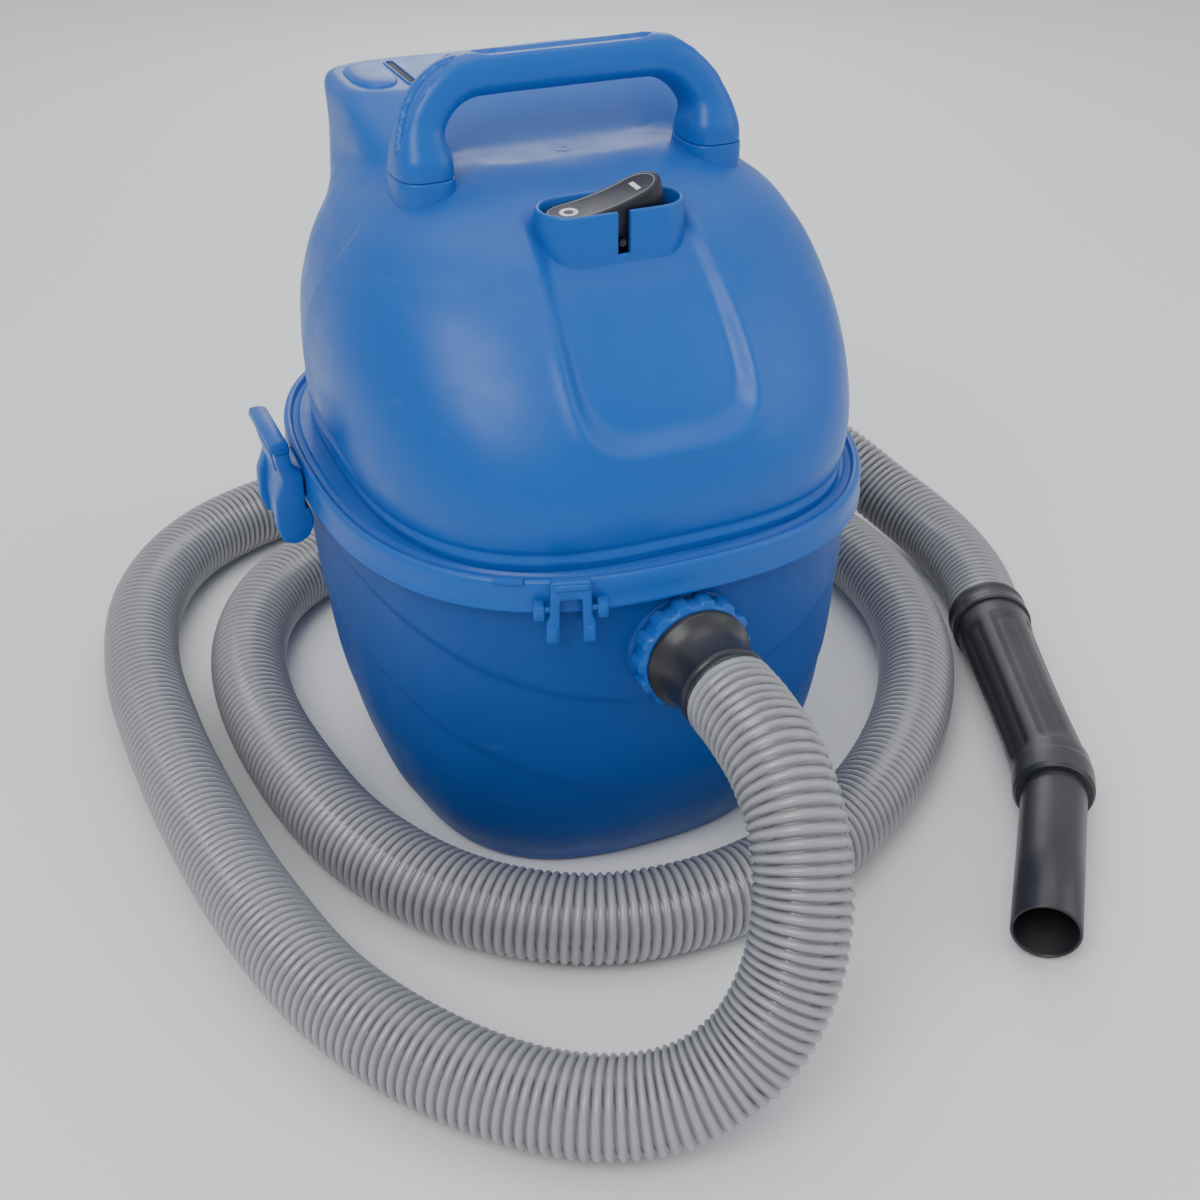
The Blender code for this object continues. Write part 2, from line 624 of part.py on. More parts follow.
# ---------------------------------------------------------------- head shell
def head_section(z):
    """The head's half width, its reach to the front and to the back, and its roundness at height z."""
    share = (z - HEAD_LOW) / HEAD_HEIGHT
    rows = np.array(HEAD_PROFILE)
    wide, front, back = (float(np.interp(share, rows[:, 0], rows[:, k])) for k in (1, 2, 3))
    return HEAD_X * wide, HEAD_FRONT * front, HEAD_BACK * back, 3.0 - 0.6 * share


def wall_x(y, z):
    """Where the head's side is at y and height z."""
    wide, front, back, power = head_section(z)
    return wide * (1.0 - (abs(y) / (front if y < 0.0 else back)) ** power) ** (1.0 / power)


def wall_back(x, z):
    """Where the head's back is at x and height z."""
    wide, _, back, power = head_section(z)
    return back * (1.0 - (abs(x) / wide) ** power) ** (1.0 / power)


def head_rings(inset=0.0):
    """The head's sections from the lid ring to its flat top, taken in by inset."""
    rings = []
    for share, wide, front, back in HEAD_PROFILE:
        z = HEAD_LOW + HEAD_HEIGHT * share
        if inset:
            z = HEAD_LOW - 0.001 if share == 0.0 else z - inset * share
        power = 3.0 - 0.6 * share
        rings.append(section(HEAD_X * wide - inset, HEAD_FRONT * front - inset, HEAD_BACK * back - inset, power, z))
    return rings


def hump_form(name, inset=0.0):
    """The hump behind the handle: a block with a sloping front face."""
    top = HUMP_TOP - inset
    rows = ((-0.040, 1.02, -1.00), (-0.022, 1.00, -0.92), (-0.008, 0.98, -0.42), (0.0, 0.93, 0.0))
    rings = []
    for drop, wide, slope in rows:
        y_front = HUMP_FRONT + HUMP_SLOPE * slope + inset
        y_back = HUMP_BACK - inset - (0.004 if drop == 0.0 else 0.0)
        half = (y_back - y_front) / 2.0
        rings.append(section(HUMP_X * wide - inset, half, half, 4.5, top + drop, y=(y_front + y_back) / 2.0))
    return loft(name, rings, cutters)


def stadium(name, half_length, half_width, low, high, y):
    """An upright block whose ends are round, its length along X."""
    centre = half_length - half_width
    turn = np.linspace(-math.pi / 2.0, math.pi / 2.0, 9)
    right = np.column_stack((centre + half_width * np.cos(turn), half_width * np.sin(turn)))
    outline = np.vstack((right, -right))
    rings = [np.column_stack((outline[:, 0], outline[:, 1] + y, np.full(len(outline), z))) for z in (low, high)]
    return loft(name, rings, cutters)


def vent_places():
    return [VENT_PITCH * k for k in (-1.5, -0.5, 0.5, 1.5)]


def make_head_shell():
    shell = loft("head_shell", head_rings())
    feet = []
    for side in (-1, 1):
        foot = box("foot", (side * HANDLE_SPAN - 0.0135, HANDLE_Y - 0.0165, HANDLE_SEAM - SOCKET_LENGTH),
                   (side * HANDLE_SPAN + 0.0135, HANDLE_Y + 0.0165, HANDLE_SEAM - GAP), cutters, bevel=0.003)
        feet.append(foot)
    combine(shell, [hump_form("hump")] + feet, "UNION")
    pads = []
    for k in (-2, 0, 2):
        pad = rod("pad", (0.0, 0.0, HUMP_TOP - 0.004), (0.0, 0.0, HUMP_TOP + PAD_RISE), 1.0, cutters, 16, 0.86)
        pad.data.transform(Matrix.Diagonal((PAD_X, PAD_Y, 1.0, 1.0)))
        pad.data.transform(Matrix.Translation((VENT_PITCH * k, (HUMP_FRONT + HUMP_BACK) / 2.0, 0.0)))
        pads.append(pad)
    combine(shell, pads, "UNION")
    hollow = loft("hollow", head_rings(HEAD_WALL), cutters)
    combine(hollow, [hump_form("hump_hollow", HEAD_WALL)], "UNION")
    combine(shell, [hollow])
    bosses = [rod("boss", (x, y, HEAD_LOW + GAP), (x, y, HEAD_LOW + 0.014), 0.005, cutters, 12)
              for x, y in base_screw_places()]
    feet = [rod("foot_boss", (side * HANDLE_SPAN, HANDLE_Y, HANDLE_SEAM - 0.028),
                (side * HANDLE_SPAN, HANDLE_Y, HANDLE_SEAM - 0.002), 0.0060, cutters, 12) for side in (-1, 1)]
    ribs = []
    for x, y in base_screw_places():
        ends = sorted((x, math.copysign(wall_x(y, HEAD_LOW) - 0.0010, x)))
        ribs.append(box("boss_rib", (ends[0], y - 0.0012, HEAD_LOW + 0.0010),
                        (ends[1], y + 0.0012, HEAD_LOW + 0.011), cutters))
    combine(shell, bosses + ribs + feet, "UNION")
    well = stadium("well", WELL_HALF_LENGTH, WELL_HALF_WIDTH, WELL_FLOOR - WELL_WALL, WELL_TOP, WELL_Y)
    combine(shell, [well], "UNION")
    cuts = [stadium("recess", WELL_HALF_LENGTH - WELL_WALL, WELL_HALF_WIDTH - WELL_WALL, WELL_FLOOR,
                    WELL_TOP + 0.03, WELL_Y)]
    cuts.append(box("switch_hole", (-0.0125, WELL_Y - 0.0085, WELL_FLOOR - 0.01),
                    (0.0125, WELL_Y + 0.0085, WELL_FLOOR + 0.01), cutters))
    slot_y = (WELL_Y - WELL_HALF_WIDTH - 0.01, WELL_Y)
    cuts.append(box("pin_slot", (-ROCKER_PIN_R - GAP, slot_y[0], ROCKER_PIVOT_Z),
                    (ROCKER_PIN_R + GAP, slot_y[1], WELL_TOP + 0.01), cutters))
    cuts.append(rod("pin_seat", (0.0, slot_y[0], ROCKER_PIVOT_Z), (0.0, WELL_Y + WELL_HALF_WIDTH - 0.0010,
                                                                   ROCKER_PIVOT_Z), ROCKER_PIN_R + GAP, cutters, 16))
    cuts += [box("vent", (x - VENT_WIDTH / 2.0, HUMP_FRONT + 0.004, HUMP_TOP - VENT_DEPTH),
                 (x + VENT_WIDTH / 2.0, HUMP_BACK + 0.01, HUMP_TOP + 0.01), cutters) for x in vent_places()]
    cuts.append(box("grille_window", (-GRILLE_HALF_WIDTH, HEAD_BACK - 0.03, GRILLE_LOW),
                    (GRILLE_HALF_WIDTH, HEAD_BACK + 0.01, GRILLE_HIGH), cutters))
    cuts += [rod("boss_bore", (x, y, HEAD_LOW - 0.01), (x, y, HEAD_LOW + 0.011), 0.0020, cutters, 12)
             for x, y in base_screw_places()]
    cuts += [rod("foot_bore", (side * HANDLE_SPAN, HANDLE_Y, HANDLE_SEAM - 0.04),
                 (side * HANDLE_SPAN, HANDLE_Y, HANDLE_SEAM + 0.01), 0.0023, cutters, 12) for side in (-1, 1)]
    cuts.append(rod("gland_hole", (GLAND_X, HEAD_BACK - 0.04, GLAND_Z), (GLAND_X, HEAD_BACK + 0.02, GLAND_Z),
                    GLAND_R + GAP, cutters, 20))
    combine(shell, cuts)
    return dress(shell, BLUE)


def make_gland():
    """The bush in the back of the head that the mains lead would leave through."""
    y = wall_back(GLAND_X + GLAND_R + 0.002, GLAND_Z) - HEAD_WALL - 0.0036
    profile = ((0.0035, -y), (GLAND_R + 0.002, -y), (GLAND_R + 0.002, -y - 0.0022), (GLAND_R, -y - 0.0022),
               (GLAND_R, -y - 0.016), (0.0050, -y - 0.022), (0.0035, -y - 0.022))
    return dress(turned("cord_gland", profile, (GLAND_X, 0.0, GLAND_Z), 16, along_y=True), BLACK)


def make_grille():
    """The exhaust grille behind the window in the head's back."""
    y = wall_back(GRILLE_HALF_WIDTH + 0.006, GRILLE_HIGH + 0.005) - HEAD_WALL - 0.0045
    plate = box("exhaust_grille", (-GRILLE_HALF_WIDTH - 0.006, y, GRILLE_LOW - 0.005),
                (GRILLE_HALF_WIDTH + 0.006, y + 0.0025, GRILLE_HIGH + 0.005))
    pitch = (GRILLE_HIGH - GRILLE_LOW) / 6.0
    slots = [box("slot", (-GRILLE_HALF_WIDTH + 0.004, y - 0.01, GRILLE_LOW + pitch * (k + 0.25)),
                 (GRILLE_HALF_WIDTH - 0.004, y + 0.01, GRILLE_LOW + pitch * (k + 0.75)), cutters) for k in range(6)]
    combine(plate, [joined("slots", slots, cutters)])
    return dress(plate, BLACK, 0)


# ---------------------------------------------------------------- handle
def handle_line():
    """The handle's centre line: up one leg, round a corner, across and down again."""
    top = HANDLE_TOP - HANDLE_THICK / 2.0
    turn = np.linspace(math.pi, math.pi / 2.0, 7)
    arc_x = -HANDLE_SPAN + HANDLE_CORNER + HANDLE_CORNER * np.cos(turn)
    arc_z = top - HANDLE_CORNER + HANDLE_CORNER * np.sin(turn)
    left = [(-HANDLE_SPAN, HANDLE_SEAM), (-HANDLE_SPAN, HANDLE_SEAM + 0.004), *zip(arc_x, arc_z)]
    right = [(-x, z) for x, z in reversed(left)]
    low, rise = HANDLE_SEAM + 0.004, top - HANDLE_SEAM - 0.004
    return [(x, HANDLE_Y + HANDLE_LEAN * max(0.0, z - low) / rise, z) for x, z in left + right]


def make_handle():
    line = handle_line()
    radius = HANDLE_THICK / 2.0
    bar = tube("handle", line, [radius] * len(line), resolution=3)
    stretch = Matrix.Translation((0.0, HANDLE_Y, 0.0)) @ Matrix.Scale(HANDLE_DEPTH / HANDLE_THICK, 4, (0.0, 1.0, 0.0))
    bar.data.transform(stretch @ Matrix.Translation((0.0, -HANDLE_Y, 0.0)))
    holes = [rod("screw_hole", (side * HANDLE_SPAN, HANDLE_Y, HANDLE_SEAM - 0.01),
                 (side * HANDLE_SPAN, HANDLE_Y, HANDLE_SEAM + 0.012), 0.0020, cutters, 16) for side in (-1, 1)]
    combine(bar, holes)
    return dress(bar, BLUE, 50)


def make_handle_screws():
    """The two screws that pull the handle's legs down onto their feet."""
    for side, name in ((-1, "handle_screw_left"), (1, "handle_screw_right")):
        x, low = side * HANDLE_SPAN, HANDLE_SEAM - 0.0283
        screw = rod(name, (x, HANDLE_Y, low - 0.0025), (x, HANDLE_Y, low), 0.0042, sides=12)
        shank = rod("shank", (x, HANDLE_Y, low - 0.001), (x, HANDLE_Y, HANDLE_SEAM + 0.010), 0.0017, cutters, 12)
        dress(combine(screw, [shank], "UNION"), STEEL)


# ---------------------------------------------------------------- switch
def make_rocker():
    """The long rocker, tilted with its far end up, on a cross pin."""
    half = ROCKER_HALF_LENGTH + 0.002
    top = [(x, 0.0163 + 0.0030 * (x / half) ** 2) for x in np.linspace(half, -half, 11)]
    turn = np.linspace(math.pi, 2.0 * math.pi, 7)
    foot = [(0.0080 * math.cos(a), 0.0050 * math.sin(a)) for a in turn[1:-1]]
    outline = np.array(top + [(-half, 0.0050), (-0.0085, 0.0000)] + foot + [(0.0085, 0.0000), (half, 0.0050)])
    rings = [np.column_stack((outline[:, 0], np.full(len(outline), WELL_Y + y), ROCKER_PIVOT_Z + outline[:, 1]))
             for y in (-ROCKER_HALF_WIDTH - 0.002, ROCKER_HALF_WIDTH + 0.002)]
    rocker = loft("switch_rocker", rings)
    plan = stadium("plan", ROCKER_HALF_LENGTH, ROCKER_HALF_WIDTH, WELL_FLOOR - 0.02, WELL_TOP + 0.02, WELL_Y)
    combine(rocker, [plan], "INTERSECT")
    bore = rod("bore", (0.0, WELL_Y - 0.02, ROCKER_PIVOT_Z), (0.0, WELL_Y + 0.02, ROCKER_PIVOT_Z),
               ROCKER_PIN_R + GAP, cutters, 16)
    combine(rocker, [bore])
    spun(rocker, (0.0, WELL_Y, ROCKER_PIVOT_Z), -ROCKER_TILT, "Y")
    return dress(hinge_at(rocker, (0.0, WELL_Y, ROCKER_PIVOT_Z)), BLACK, 30)


def make_switch_pin():
    reach = WELL_HALF_WIDTH - 0.0015
    pin = rod("switch_pin", (0.0, WELL_Y - reach, ROCKER_PIVOT_Z), (0.0, WELL_Y + reach, ROCKER_PIVOT_Z),
              ROCKER_PIN_R, sides=16)
    return dress(pin, STEEL)


def make_switch_body():
    """The snap switch under the collar's floor, with its blade terminals."""
    top = WELL_FLOOR - WELL_WALL - GAP
    body = box("switch_body", (-0.0150, WELL_Y - 0.0110, top - 0.022), (0.0150, WELL_Y + 0.0110, top), bevel=0.0008)
    blades = [box("blade", (x - 0.0020, WELL_Y - 0.0004, top - 0.030), (x + 0.0020, WELL_Y + 0.0004, top - 0.020), cutters)
              for x in (-0.008, 0.008)]
    combine(body, blades, "UNION")
    return dress(body, WHITE, 0)


# ---------------------------------------------------------------- latches
def make_latch(side):
    """A channel-shaped lever on the ring's lug: squeezed at its top, its hook swings out from under the rim."""
    low_y, high_y = LATCH_Y - LATCH_WIDTH / 2.0, LATCH_Y + LATCH_WIDTH / 2.0
    inner = LATCH_OUT - LATCH_DEPTH
    outline = ((LATCH_OUT - 0.003, LATCH_BOTTOM + 0.004), (LATCH_OUT, LATCH_BOTTOM + 0.014),
               (LATCH_OUT + 0.002, LATCH_TOP - 0.006), (LATCH_OUT, LATCH_TOP), (LATCH_OUT - 0.0050, LATCH_TOP - 0.001),
               (inner + 0.005, LATCH_TOP - 0.010), (inner + 0.0028, LATCH_PIVOT_Z + 0.005),
               (inner, LATCH_PIVOT_Z - 0.002), (inner, LATCH_BOTTOM + 0.003), (inner + 0.003, LATCH_BOTTOM),
               (LATCH_OUT - 0.006, LATCH_BOTTOM))
    rings = [[(-x, y, z) for x, z in outline] for y in (low_y, high_y)]
    name = "latch_lever_left" if side < 0 else "latch_lever_right"
    lever = loft(name, rings)
    half_gap = LUG_WIDTH / 2.0 + RUN
    cheek_in = half_gap + LATCH_WALL
    cuts = [box("hollow", (-(LATCH_OUT - LATCH_WALL), LATCH_Y + y0, LATCH_BOTTOM - 0.01),
                (-(inner - 0.01), LATCH_Y + y1, LATCH_TOP - 0.006), cutters)
            for y0, y1 in ((-half_gap, half_gap), (cheek_in, LATCH_WIDTH / 2.0 - 0.0022),
                           (-LATCH_WIDTH / 2.0 + 0.0022, -cheek_in))]
    cuts.append(rod("bore", (-LATCH_PIVOT_X, LATCH_Y - cheek_in - 0.001, LATCH_PIVOT_Z),
                    (-LATCH_PIVOT_X, LATCH_Y + cheek_in + 0.001, LATCH_PIVOT_Z), LATCH_PIN_R + GAP, cutters, 16))
    combine(lever, cuts)
    nose = box("nose", (-(LATCH_OUT - 0.0010), LATCH_Y - half_gap - 0.001, LATCH_BOTTOM + 0.0110),
               (-LATCH_NOSE_X, LATCH_Y + half_gap + 0.001, LATCH_BOTTOM + 0.0185), cutters)
    combine(lever, [nose], "UNION")
    if side > 0:
        mirrored_x(lever)
    return dress(hinge_at(lever, (side * LATCH_PIVOT_X, LATCH_Y, LATCH_PIVOT_Z)), BLUE, 35)


def make_latch_pin(side):
    reach = LUG_WIDTH / 2.0 + RUN + LATCH_WALL - 0.0002
    name = "latch_pin_left" if side < 0 else "latch_pin_right"
    pin = rod(name, (side * LATCH_PIVOT_X, LATCH_Y - reach, LATCH_PIVOT_Z),
              (side * LATCH_PIVOT_X, LATCH_Y + reach, LATCH_PIVOT_Z), LATCH_PIN_R, sides=16)
    return dress(pin, STEEL)


# ---------------------------------------------------------------- motor
def make_motor():
    """The fan housing, the wound motor and its running parts, stacked on one upright axis."""
    axis = (0.0, MOTOR_Y, 0.0)
    low, top = FAN_CAN_LOW, FAN_CAN_TOP
    wall, pieces = 0.0012, []
    seat_in = INTAKE_R + 0.009
    pieces.append(dress(turned("motor_seat", ((seat_in, low - GAP), (seat_in, RING_TOP + GAP),
                                              (FAN_CAN_R - 0.004, RING_TOP + GAP), (FAN_CAN_R - 0.004, low - GAP)), axis),
                        RUBBER))
    can = ((0.022, low), (FAN_CAN_R, low), (FAN_CAN_R, top), (0.020, top), (0.020, top - wall),
           (FAN_CAN_R - wall, top - wall), (FAN_CAN_R - wall, low + wall), (0.022, low + wall))
    pieces.append(dress(turned("fan_housing", can, axis), STEEL))
    disc_low = low + 0.008
    wheel = turned("impeller", ((SHAFT_R + GAP, disc_low - 0.002), (0.010, disc_low - 0.002), (0.012, disc_low + 0.006),
                                (0.050, disc_low + 0.0065), (0.050, disc_low + 0.008), (SHAFT_R + GAP, disc_low + 0.008)),
                   axis)
    vanes = []
    for k in range(7):
        vane = box("vane", (0.0115, -0.0006, disc_low), (0.0480, 0.0006, disc_low + 0.0070), cutters)
        vane.data.transform(Matrix.Rotation(math.radians(-18.0), 4, "Z"))
        vane.data.transform(Matrix.Rotation(2.0 * math.pi * k / 7.0, 4, "Z"))
        vane.data.transform(Matrix.Translation(axis))
        vanes.append(vane)
    combine(wheel, vanes, "UNION")
    pieces.append(dress(wheel, STEEL))
    pieces.append(dress(turned("stator", ((STATOR_BORE, STATOR_LOW), (STATOR_R, STATOR_LOW), (STATOR_R, STATOR_TOP),
                                          (STATOR_BORE, STATOR_TOP)), axis), STEEL))
    for name, z0, z1 in (("field_coil_upper", STATOR_TOP + GAP, STATOR_TOP + 0.0075),
                         ("field_coil_lower", STATOR_LOW - 0.0075, STATOR_LOW - GAP)):
        coil = ((STATOR_BORE + 0.002, z0), (STATOR_R - 0.005, z0), (STATOR_R - 0.006, z1), (STATOR_BORE + 0.003, z1))
        pieces.append(dress(turned(name, coil, axis), COPPER))
    shaft_top = STATOR_TOP + 0.030
    armature = turned("armature", ((0.0, shaft_top), (SHAFT_R, shaft_top), (SHAFT_R, STATOR_TOP + 0.017),
                                   (0.0105, STATOR_TOP + 0.017), (0.0105, STATOR_TOP + 0.006),
                                   (0.0140, STATOR_TOP + 0.003), (ARMATURE_R, STATOR_TOP - 0.002),
                                   (ARMATURE_R, STATOR_LOW + 0.002), (0.0140, STATOR_LOW - 0.003),
                                   (SHAFT_R, STATOR_LOW - 0.003), (SHAFT_R, disc_low - 0.005), (0.0, disc_low - 0.005)),
                      axis, closed=False)
    pieces.append(dress(armature, COPPER))
    bearing_z = FAN_CAN_TOP - 0.0005
    for name, z in (("bearing_lower", bearing_z), ("bearing_upper", STATOR_TOP + 0.0175)):
        ring = ((SHAFT_R + GAP, z), (BEARING_R, z), (BEARING_R, z + 0.006), (SHAFT_R + GAP, z + 0.006))
        pieces.append(dress(turned(name, ring, axis, 16), STEEL))
    bridge = box("motor_bridge", (-STATOR_R, MOTOR_Y - 0.007, STATOR_TOP + 0.017),
                 (STATOR_R, MOTOR_Y + 0.007, STATOR_TOP + 0.026))
    hub = rod("hub", (0.0, MOTOR_Y, STATOR_TOP + 0.017), (0.0, MOTOR_Y, STATOR_TOP + 0.026), 0.0150, cutters, 24)
    posts = [box("post", (x0, MOTOR_Y - 0.007, STATOR_TOP + GAP), (x1, MOTOR_Y + 0.007, STATOR_TOP + 0.020), cutters)
             for x0, x1 in ((-STATOR_R, -STATOR_R + 0.0035), (STATOR_R - 0.0035, STATOR_R))]
    combine(bridge, [hub] + posts, "UNION")
    combine(bridge, [rod("seat", (0.0, MOTOR_Y, STATOR_TOP), (0.0, MOTOR_Y, STATOR_TOP + 0.0240), BEARING_R + GAP, cutters),
                     rod("way", (0.0, MOTOR_Y, STATOR_TOP), (0.0, MOTOR_Y, STATOR_TOP + 0.04), SHAFT_R + 0.001, cutters)])
    pieces.append(dress(bridge, WHITE, 0))
    for name, x0, x1 in (("carbon_brush_left", -0.026, -0.0105 - GAP), ("carbon_brush_right", 0.0105 + GAP, 0.026)):
        pieces.append(dress(box(name, (x0, MOTOR_Y - 0.0035, STATOR_TOP + 0.0085),
                                (x1, MOTOR_Y + 0.0035, STATOR_TOP + 0.0155)), RUBBER, 0))
    return pieces


# ---------------------------------------------------------------- filter and float
def make_filter():
    """The slotted cage under the fan, its foam sleeve and band, and the float inside it."""
    axis = (0.0, MOTOR_Y, 0.0)
    wall = 0.0022
    cage = turned("filter_cage", ((CAGE_R + 0.010, CAGE_TOP), (CAGE_R + 0.010, CAGE_TOP - 0.003), (CAGE_R, CAGE_TOP - 0.003),
                                  (CAGE_R - 0.003, CAGE_LOW), (0.012, CAGE_LOW), (0.012, CAGE_LOW + wall),
                                  (CAGE_R - 0.003 - wall, CAGE_LOW + wall), (CAGE_R - wall, CAGE_TOP)), axis)
    slots = []
    for k in range(9):
        slot = box("slot", (CAGE_R - 0.012, -0.0055, CAGE_LOW + 0.010), (CAGE_R + 0.006, 0.0055, CAGE_TOP - 0.012), cutters)
        slot.data.transform(Matrix.Rotation(2.0 * math.pi * (k + 0.5) / 9.0, 4, "Z"))
        slot.data.transform(Matrix.Translation(axis))
        slots.append(slot)
    combine(cage, [joined("slots", slots, cutters)])
    foam_in, foam_out = CAGE_R + RUN, CAGE_R + RUN + FOAM_THICK
    foam_low, foam_high = CAGE_LOW + 0.004, CAGE_TOP - 0.004
    foam = turned("foam_filter", ((foam_in, foam_low), (foam_out, foam_low), (foam_out, foam_high),
                                  (foam_in, foam_high)), axis)
    band = turned("filter_band", ((foam_out + GAP, foam_high - 0.014), (foam_out + 0.0022, foam_high - 0.014),
                                  (foam_out + 0.0022, foam_high - 0.008), (foam_out + GAP, foam_high - 0.008)), axis)
    return [dress(cage, BLACK), dress(foam, FOAM), dress(band, RUBBER), make_float()]


def make_float():
    bm = bmesh.new()
    bmesh.ops.create_uvsphere(bm, u_segments=16, v_segments=10, radius=FLOAT_R)
    bmesh.ops.translate(bm, vec=(0.0, MOTOR_Y, CAGE_LOW + 0.0022 + GAP + FLOAT_R), verts=bm.verts)
    return dress(add("float_ball", bm), WHITE)


# ---------------------------------------------------------------- hose and wand
def smooth_line(route, count):
    """Points at even spacing on a smooth curve through the route's points."""
    route = np.array(route)
    padded = np.vstack((2.0 * route[0] - route[1], route, 2.0 * route[-1] - route[-2]))
    dense = []
    for k in range(1, len(padded) - 2):
        p0, p1, p2, p3 = padded[k - 1:k + 3]
        for t in np.linspace(0.0, 1.0, 24, endpoint=False):
            dense.append(0.5 * (2.0 * p1 + (p2 - p0) * t + (2.0 * p0 - 5.0 * p1 + 4.0 * p2 - p3) * t ** 2
                                + (3.0 * p1 - p0 - 3.0 * p2 + p3) * t ** 3))
    dense.append(route[-1])
    dense = np.array(dense)
    run = np.concatenate(([0.0], np.cumsum(np.linalg.norm(np.diff(dense, axis=0), axis=1))))
    even = np.linspace(0.0, run[-1], count)
    return np.column_stack([np.interp(even, run, dense[:, axis]) for axis in range(3)])


def make_hose():
    """The corrugated hose as a plain bar of its outer diameter."""
    line = smooth_line(HOSE_ROUTE, HOSE_POINTS)
    square = 0.006
    leave = line[0] + np.array((0.0, -square, 0.0))
    enter = line[-1] - square * np.array((*WAND_WAY, 0.0))
    line = np.vstack((line[0], leave, line[1:-1], enter, line[-1]))
    curve = bpy.data.curves.new("hose", "CURVE")
    curve.dimensions = "3D"
    curve.bevel_depth = HOSE_OD / 2.0
    curve.bevel_resolution = 3
    curve.use_fill_caps = True
    spline = curve.splines.new("POLY")
    spline.points.add(len(line) - 1)
    for target, point in zip(spline.points, line):
        target.co = (*point, 1.0)
    hose = bpy.data.objects.new("hose", curve)
    parts.objects.link(hose)
    curve.materials.append(SILVER)
    return hose


def make_wand():
    """The wand as three pieces: a collar on the hose, a bent grip and a straight tube."""
    flat = [Vector((*place, WAND_Z)) for place in (WAND_START, WAND_BEND)]
    start, bend = flat
    tip = Vector((*WAND_TIP, WAND_TUBE_R + 0.0010))
    first, second = (bend - start).normalized(), (tip - bend).normalized()
    collar_end, turn_in = 0.017, 0.022
    grip_low = [start + first * run for run in (collar_end + GAP, 0.030, 0.070, WAND_RUN - turn_in)]
    bend_in, bend_out = grip_low[-1], bend + second * turn_in
    around = [bend_in * (1.0 - t) ** 2 + bend * 2.0 * t * (1.0 - t) + bend_out * t ** 2 for t in (0.25, 0.5, 0.75)]
    grip_line = grip_low + around + [bend_out, bend + second * (turn_in + WAND_SOCKET)]
    widths = (1.0, 0.95, 0.91, 0.88, 0.88, 0.88, 0.89, 0.90, 0.91)
    grip = tube("wand_grip", grip_line, [WAND_GRIP_R * width for width in widths])
    way = [grip_line[0] * 2.0 - grip_line[1]] + grip_line[:-1]
    combine(grip, [tube("way", way, [WAND_BORE_R - GAP] * len(way), cutters),
                   rod("socket", bend_out, tip, WAND_TUBE_R + GAP, cutters)])
    wand = rod("wand_tube", bend_out + second * GAP, tip, WAND_TUBE_R)
    combine(wand, [rod("way", bend, tip + second * 0.01, WAND_BORE_R, cutters)])
    collar = rod("wand_collar", start, start + first * collar_end, WAND_GRIP_R + 0.0009)
    combine(collar, [rod("way", start - first * 0.01, start + first * 0.03, WAND_BORE_R, cutters)])
    return [dress(collar, BLACK), dress(grip, BLACK), dress(wand, BLACK)]


# ---------------------------------------------------------------- assembly
make_tank()
make_spigot()
make_collar()
make_cuff()
make_hood()
make_lid_ring()
make_base_screws()
make_gasket()
make_head_shell()
make_gland()
make_grille()
make_handle()
make_handle_screws()
make_rocker()
make_switch_pin()
make_switch_body()
make_front_clip()
for hand in (-1, 1):
    make_latch(hand)
    make_latch_pin(hand)
make_motor()
make_filter()
make_hose()
make_wand()
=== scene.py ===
"""Looks of a compact wet and dry vacuum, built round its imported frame.

The tank stands on the floor, the motor head sits on it and carries a handle, a rocker switch and
three catches, and a ribbed hose runs from the inlet twice round the machine to a bent wand.
Lengths are in metres. The front faces -Y, the handle runs along X and the floor is z = 0.
"""

import logging
import math
from dataclasses import dataclass, field
from enum import Enum
from typing import Sequence

import bpy
import numpy as np
from mathutils import Matrix, Vector

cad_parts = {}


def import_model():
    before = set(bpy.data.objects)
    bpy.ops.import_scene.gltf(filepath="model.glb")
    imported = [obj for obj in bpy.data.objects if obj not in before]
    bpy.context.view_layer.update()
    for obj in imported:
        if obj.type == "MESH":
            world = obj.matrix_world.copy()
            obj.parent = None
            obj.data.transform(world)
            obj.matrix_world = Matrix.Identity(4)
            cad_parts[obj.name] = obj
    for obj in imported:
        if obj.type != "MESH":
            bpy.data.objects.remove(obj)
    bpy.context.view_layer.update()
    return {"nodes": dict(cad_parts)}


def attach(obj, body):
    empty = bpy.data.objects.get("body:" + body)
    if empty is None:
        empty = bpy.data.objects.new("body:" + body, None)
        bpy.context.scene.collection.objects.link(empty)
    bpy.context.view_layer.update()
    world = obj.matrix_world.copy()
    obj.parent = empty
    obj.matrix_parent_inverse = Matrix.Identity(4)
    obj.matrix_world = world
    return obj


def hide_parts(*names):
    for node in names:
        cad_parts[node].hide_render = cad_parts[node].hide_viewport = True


LOG = logging.getLogger("vacuum")
FULL_TURN = 2.0 * math.pi


class Slot(str, Enum):
    """Material slots of the record, which are passed with the new pieces but not used."""

    BLUE = "blue_shell"
    BLACK = "black_plastic"
    SILVER = "silver_hose"


class Body(str, Enum):
    """Bodies that the pieces ride on."""

    BASE = "base"
    COLLAR = "collar"
    HEAD = "head"
    ROCKER = "rocker"
    LATCH_LEFT = "latch_left"
    LATCH_RIGHT = "latch_right"
    CLIP = "clip"


# ---------------------------------------------------------------- shaping functions
def ease(value: np.ndarray) -> np.ndarray:
    """Smooth step from 0 to 1.

    Args:
        value: Numbers, where 0 and below give 0 and 1 and above give 1.

    Returns:
        Three times the square less twice the cube of the clipped value.
    """
    held = np.clip(value, 0.0, 1.0)
    return held * held * (3.0 - 2.0 * held)


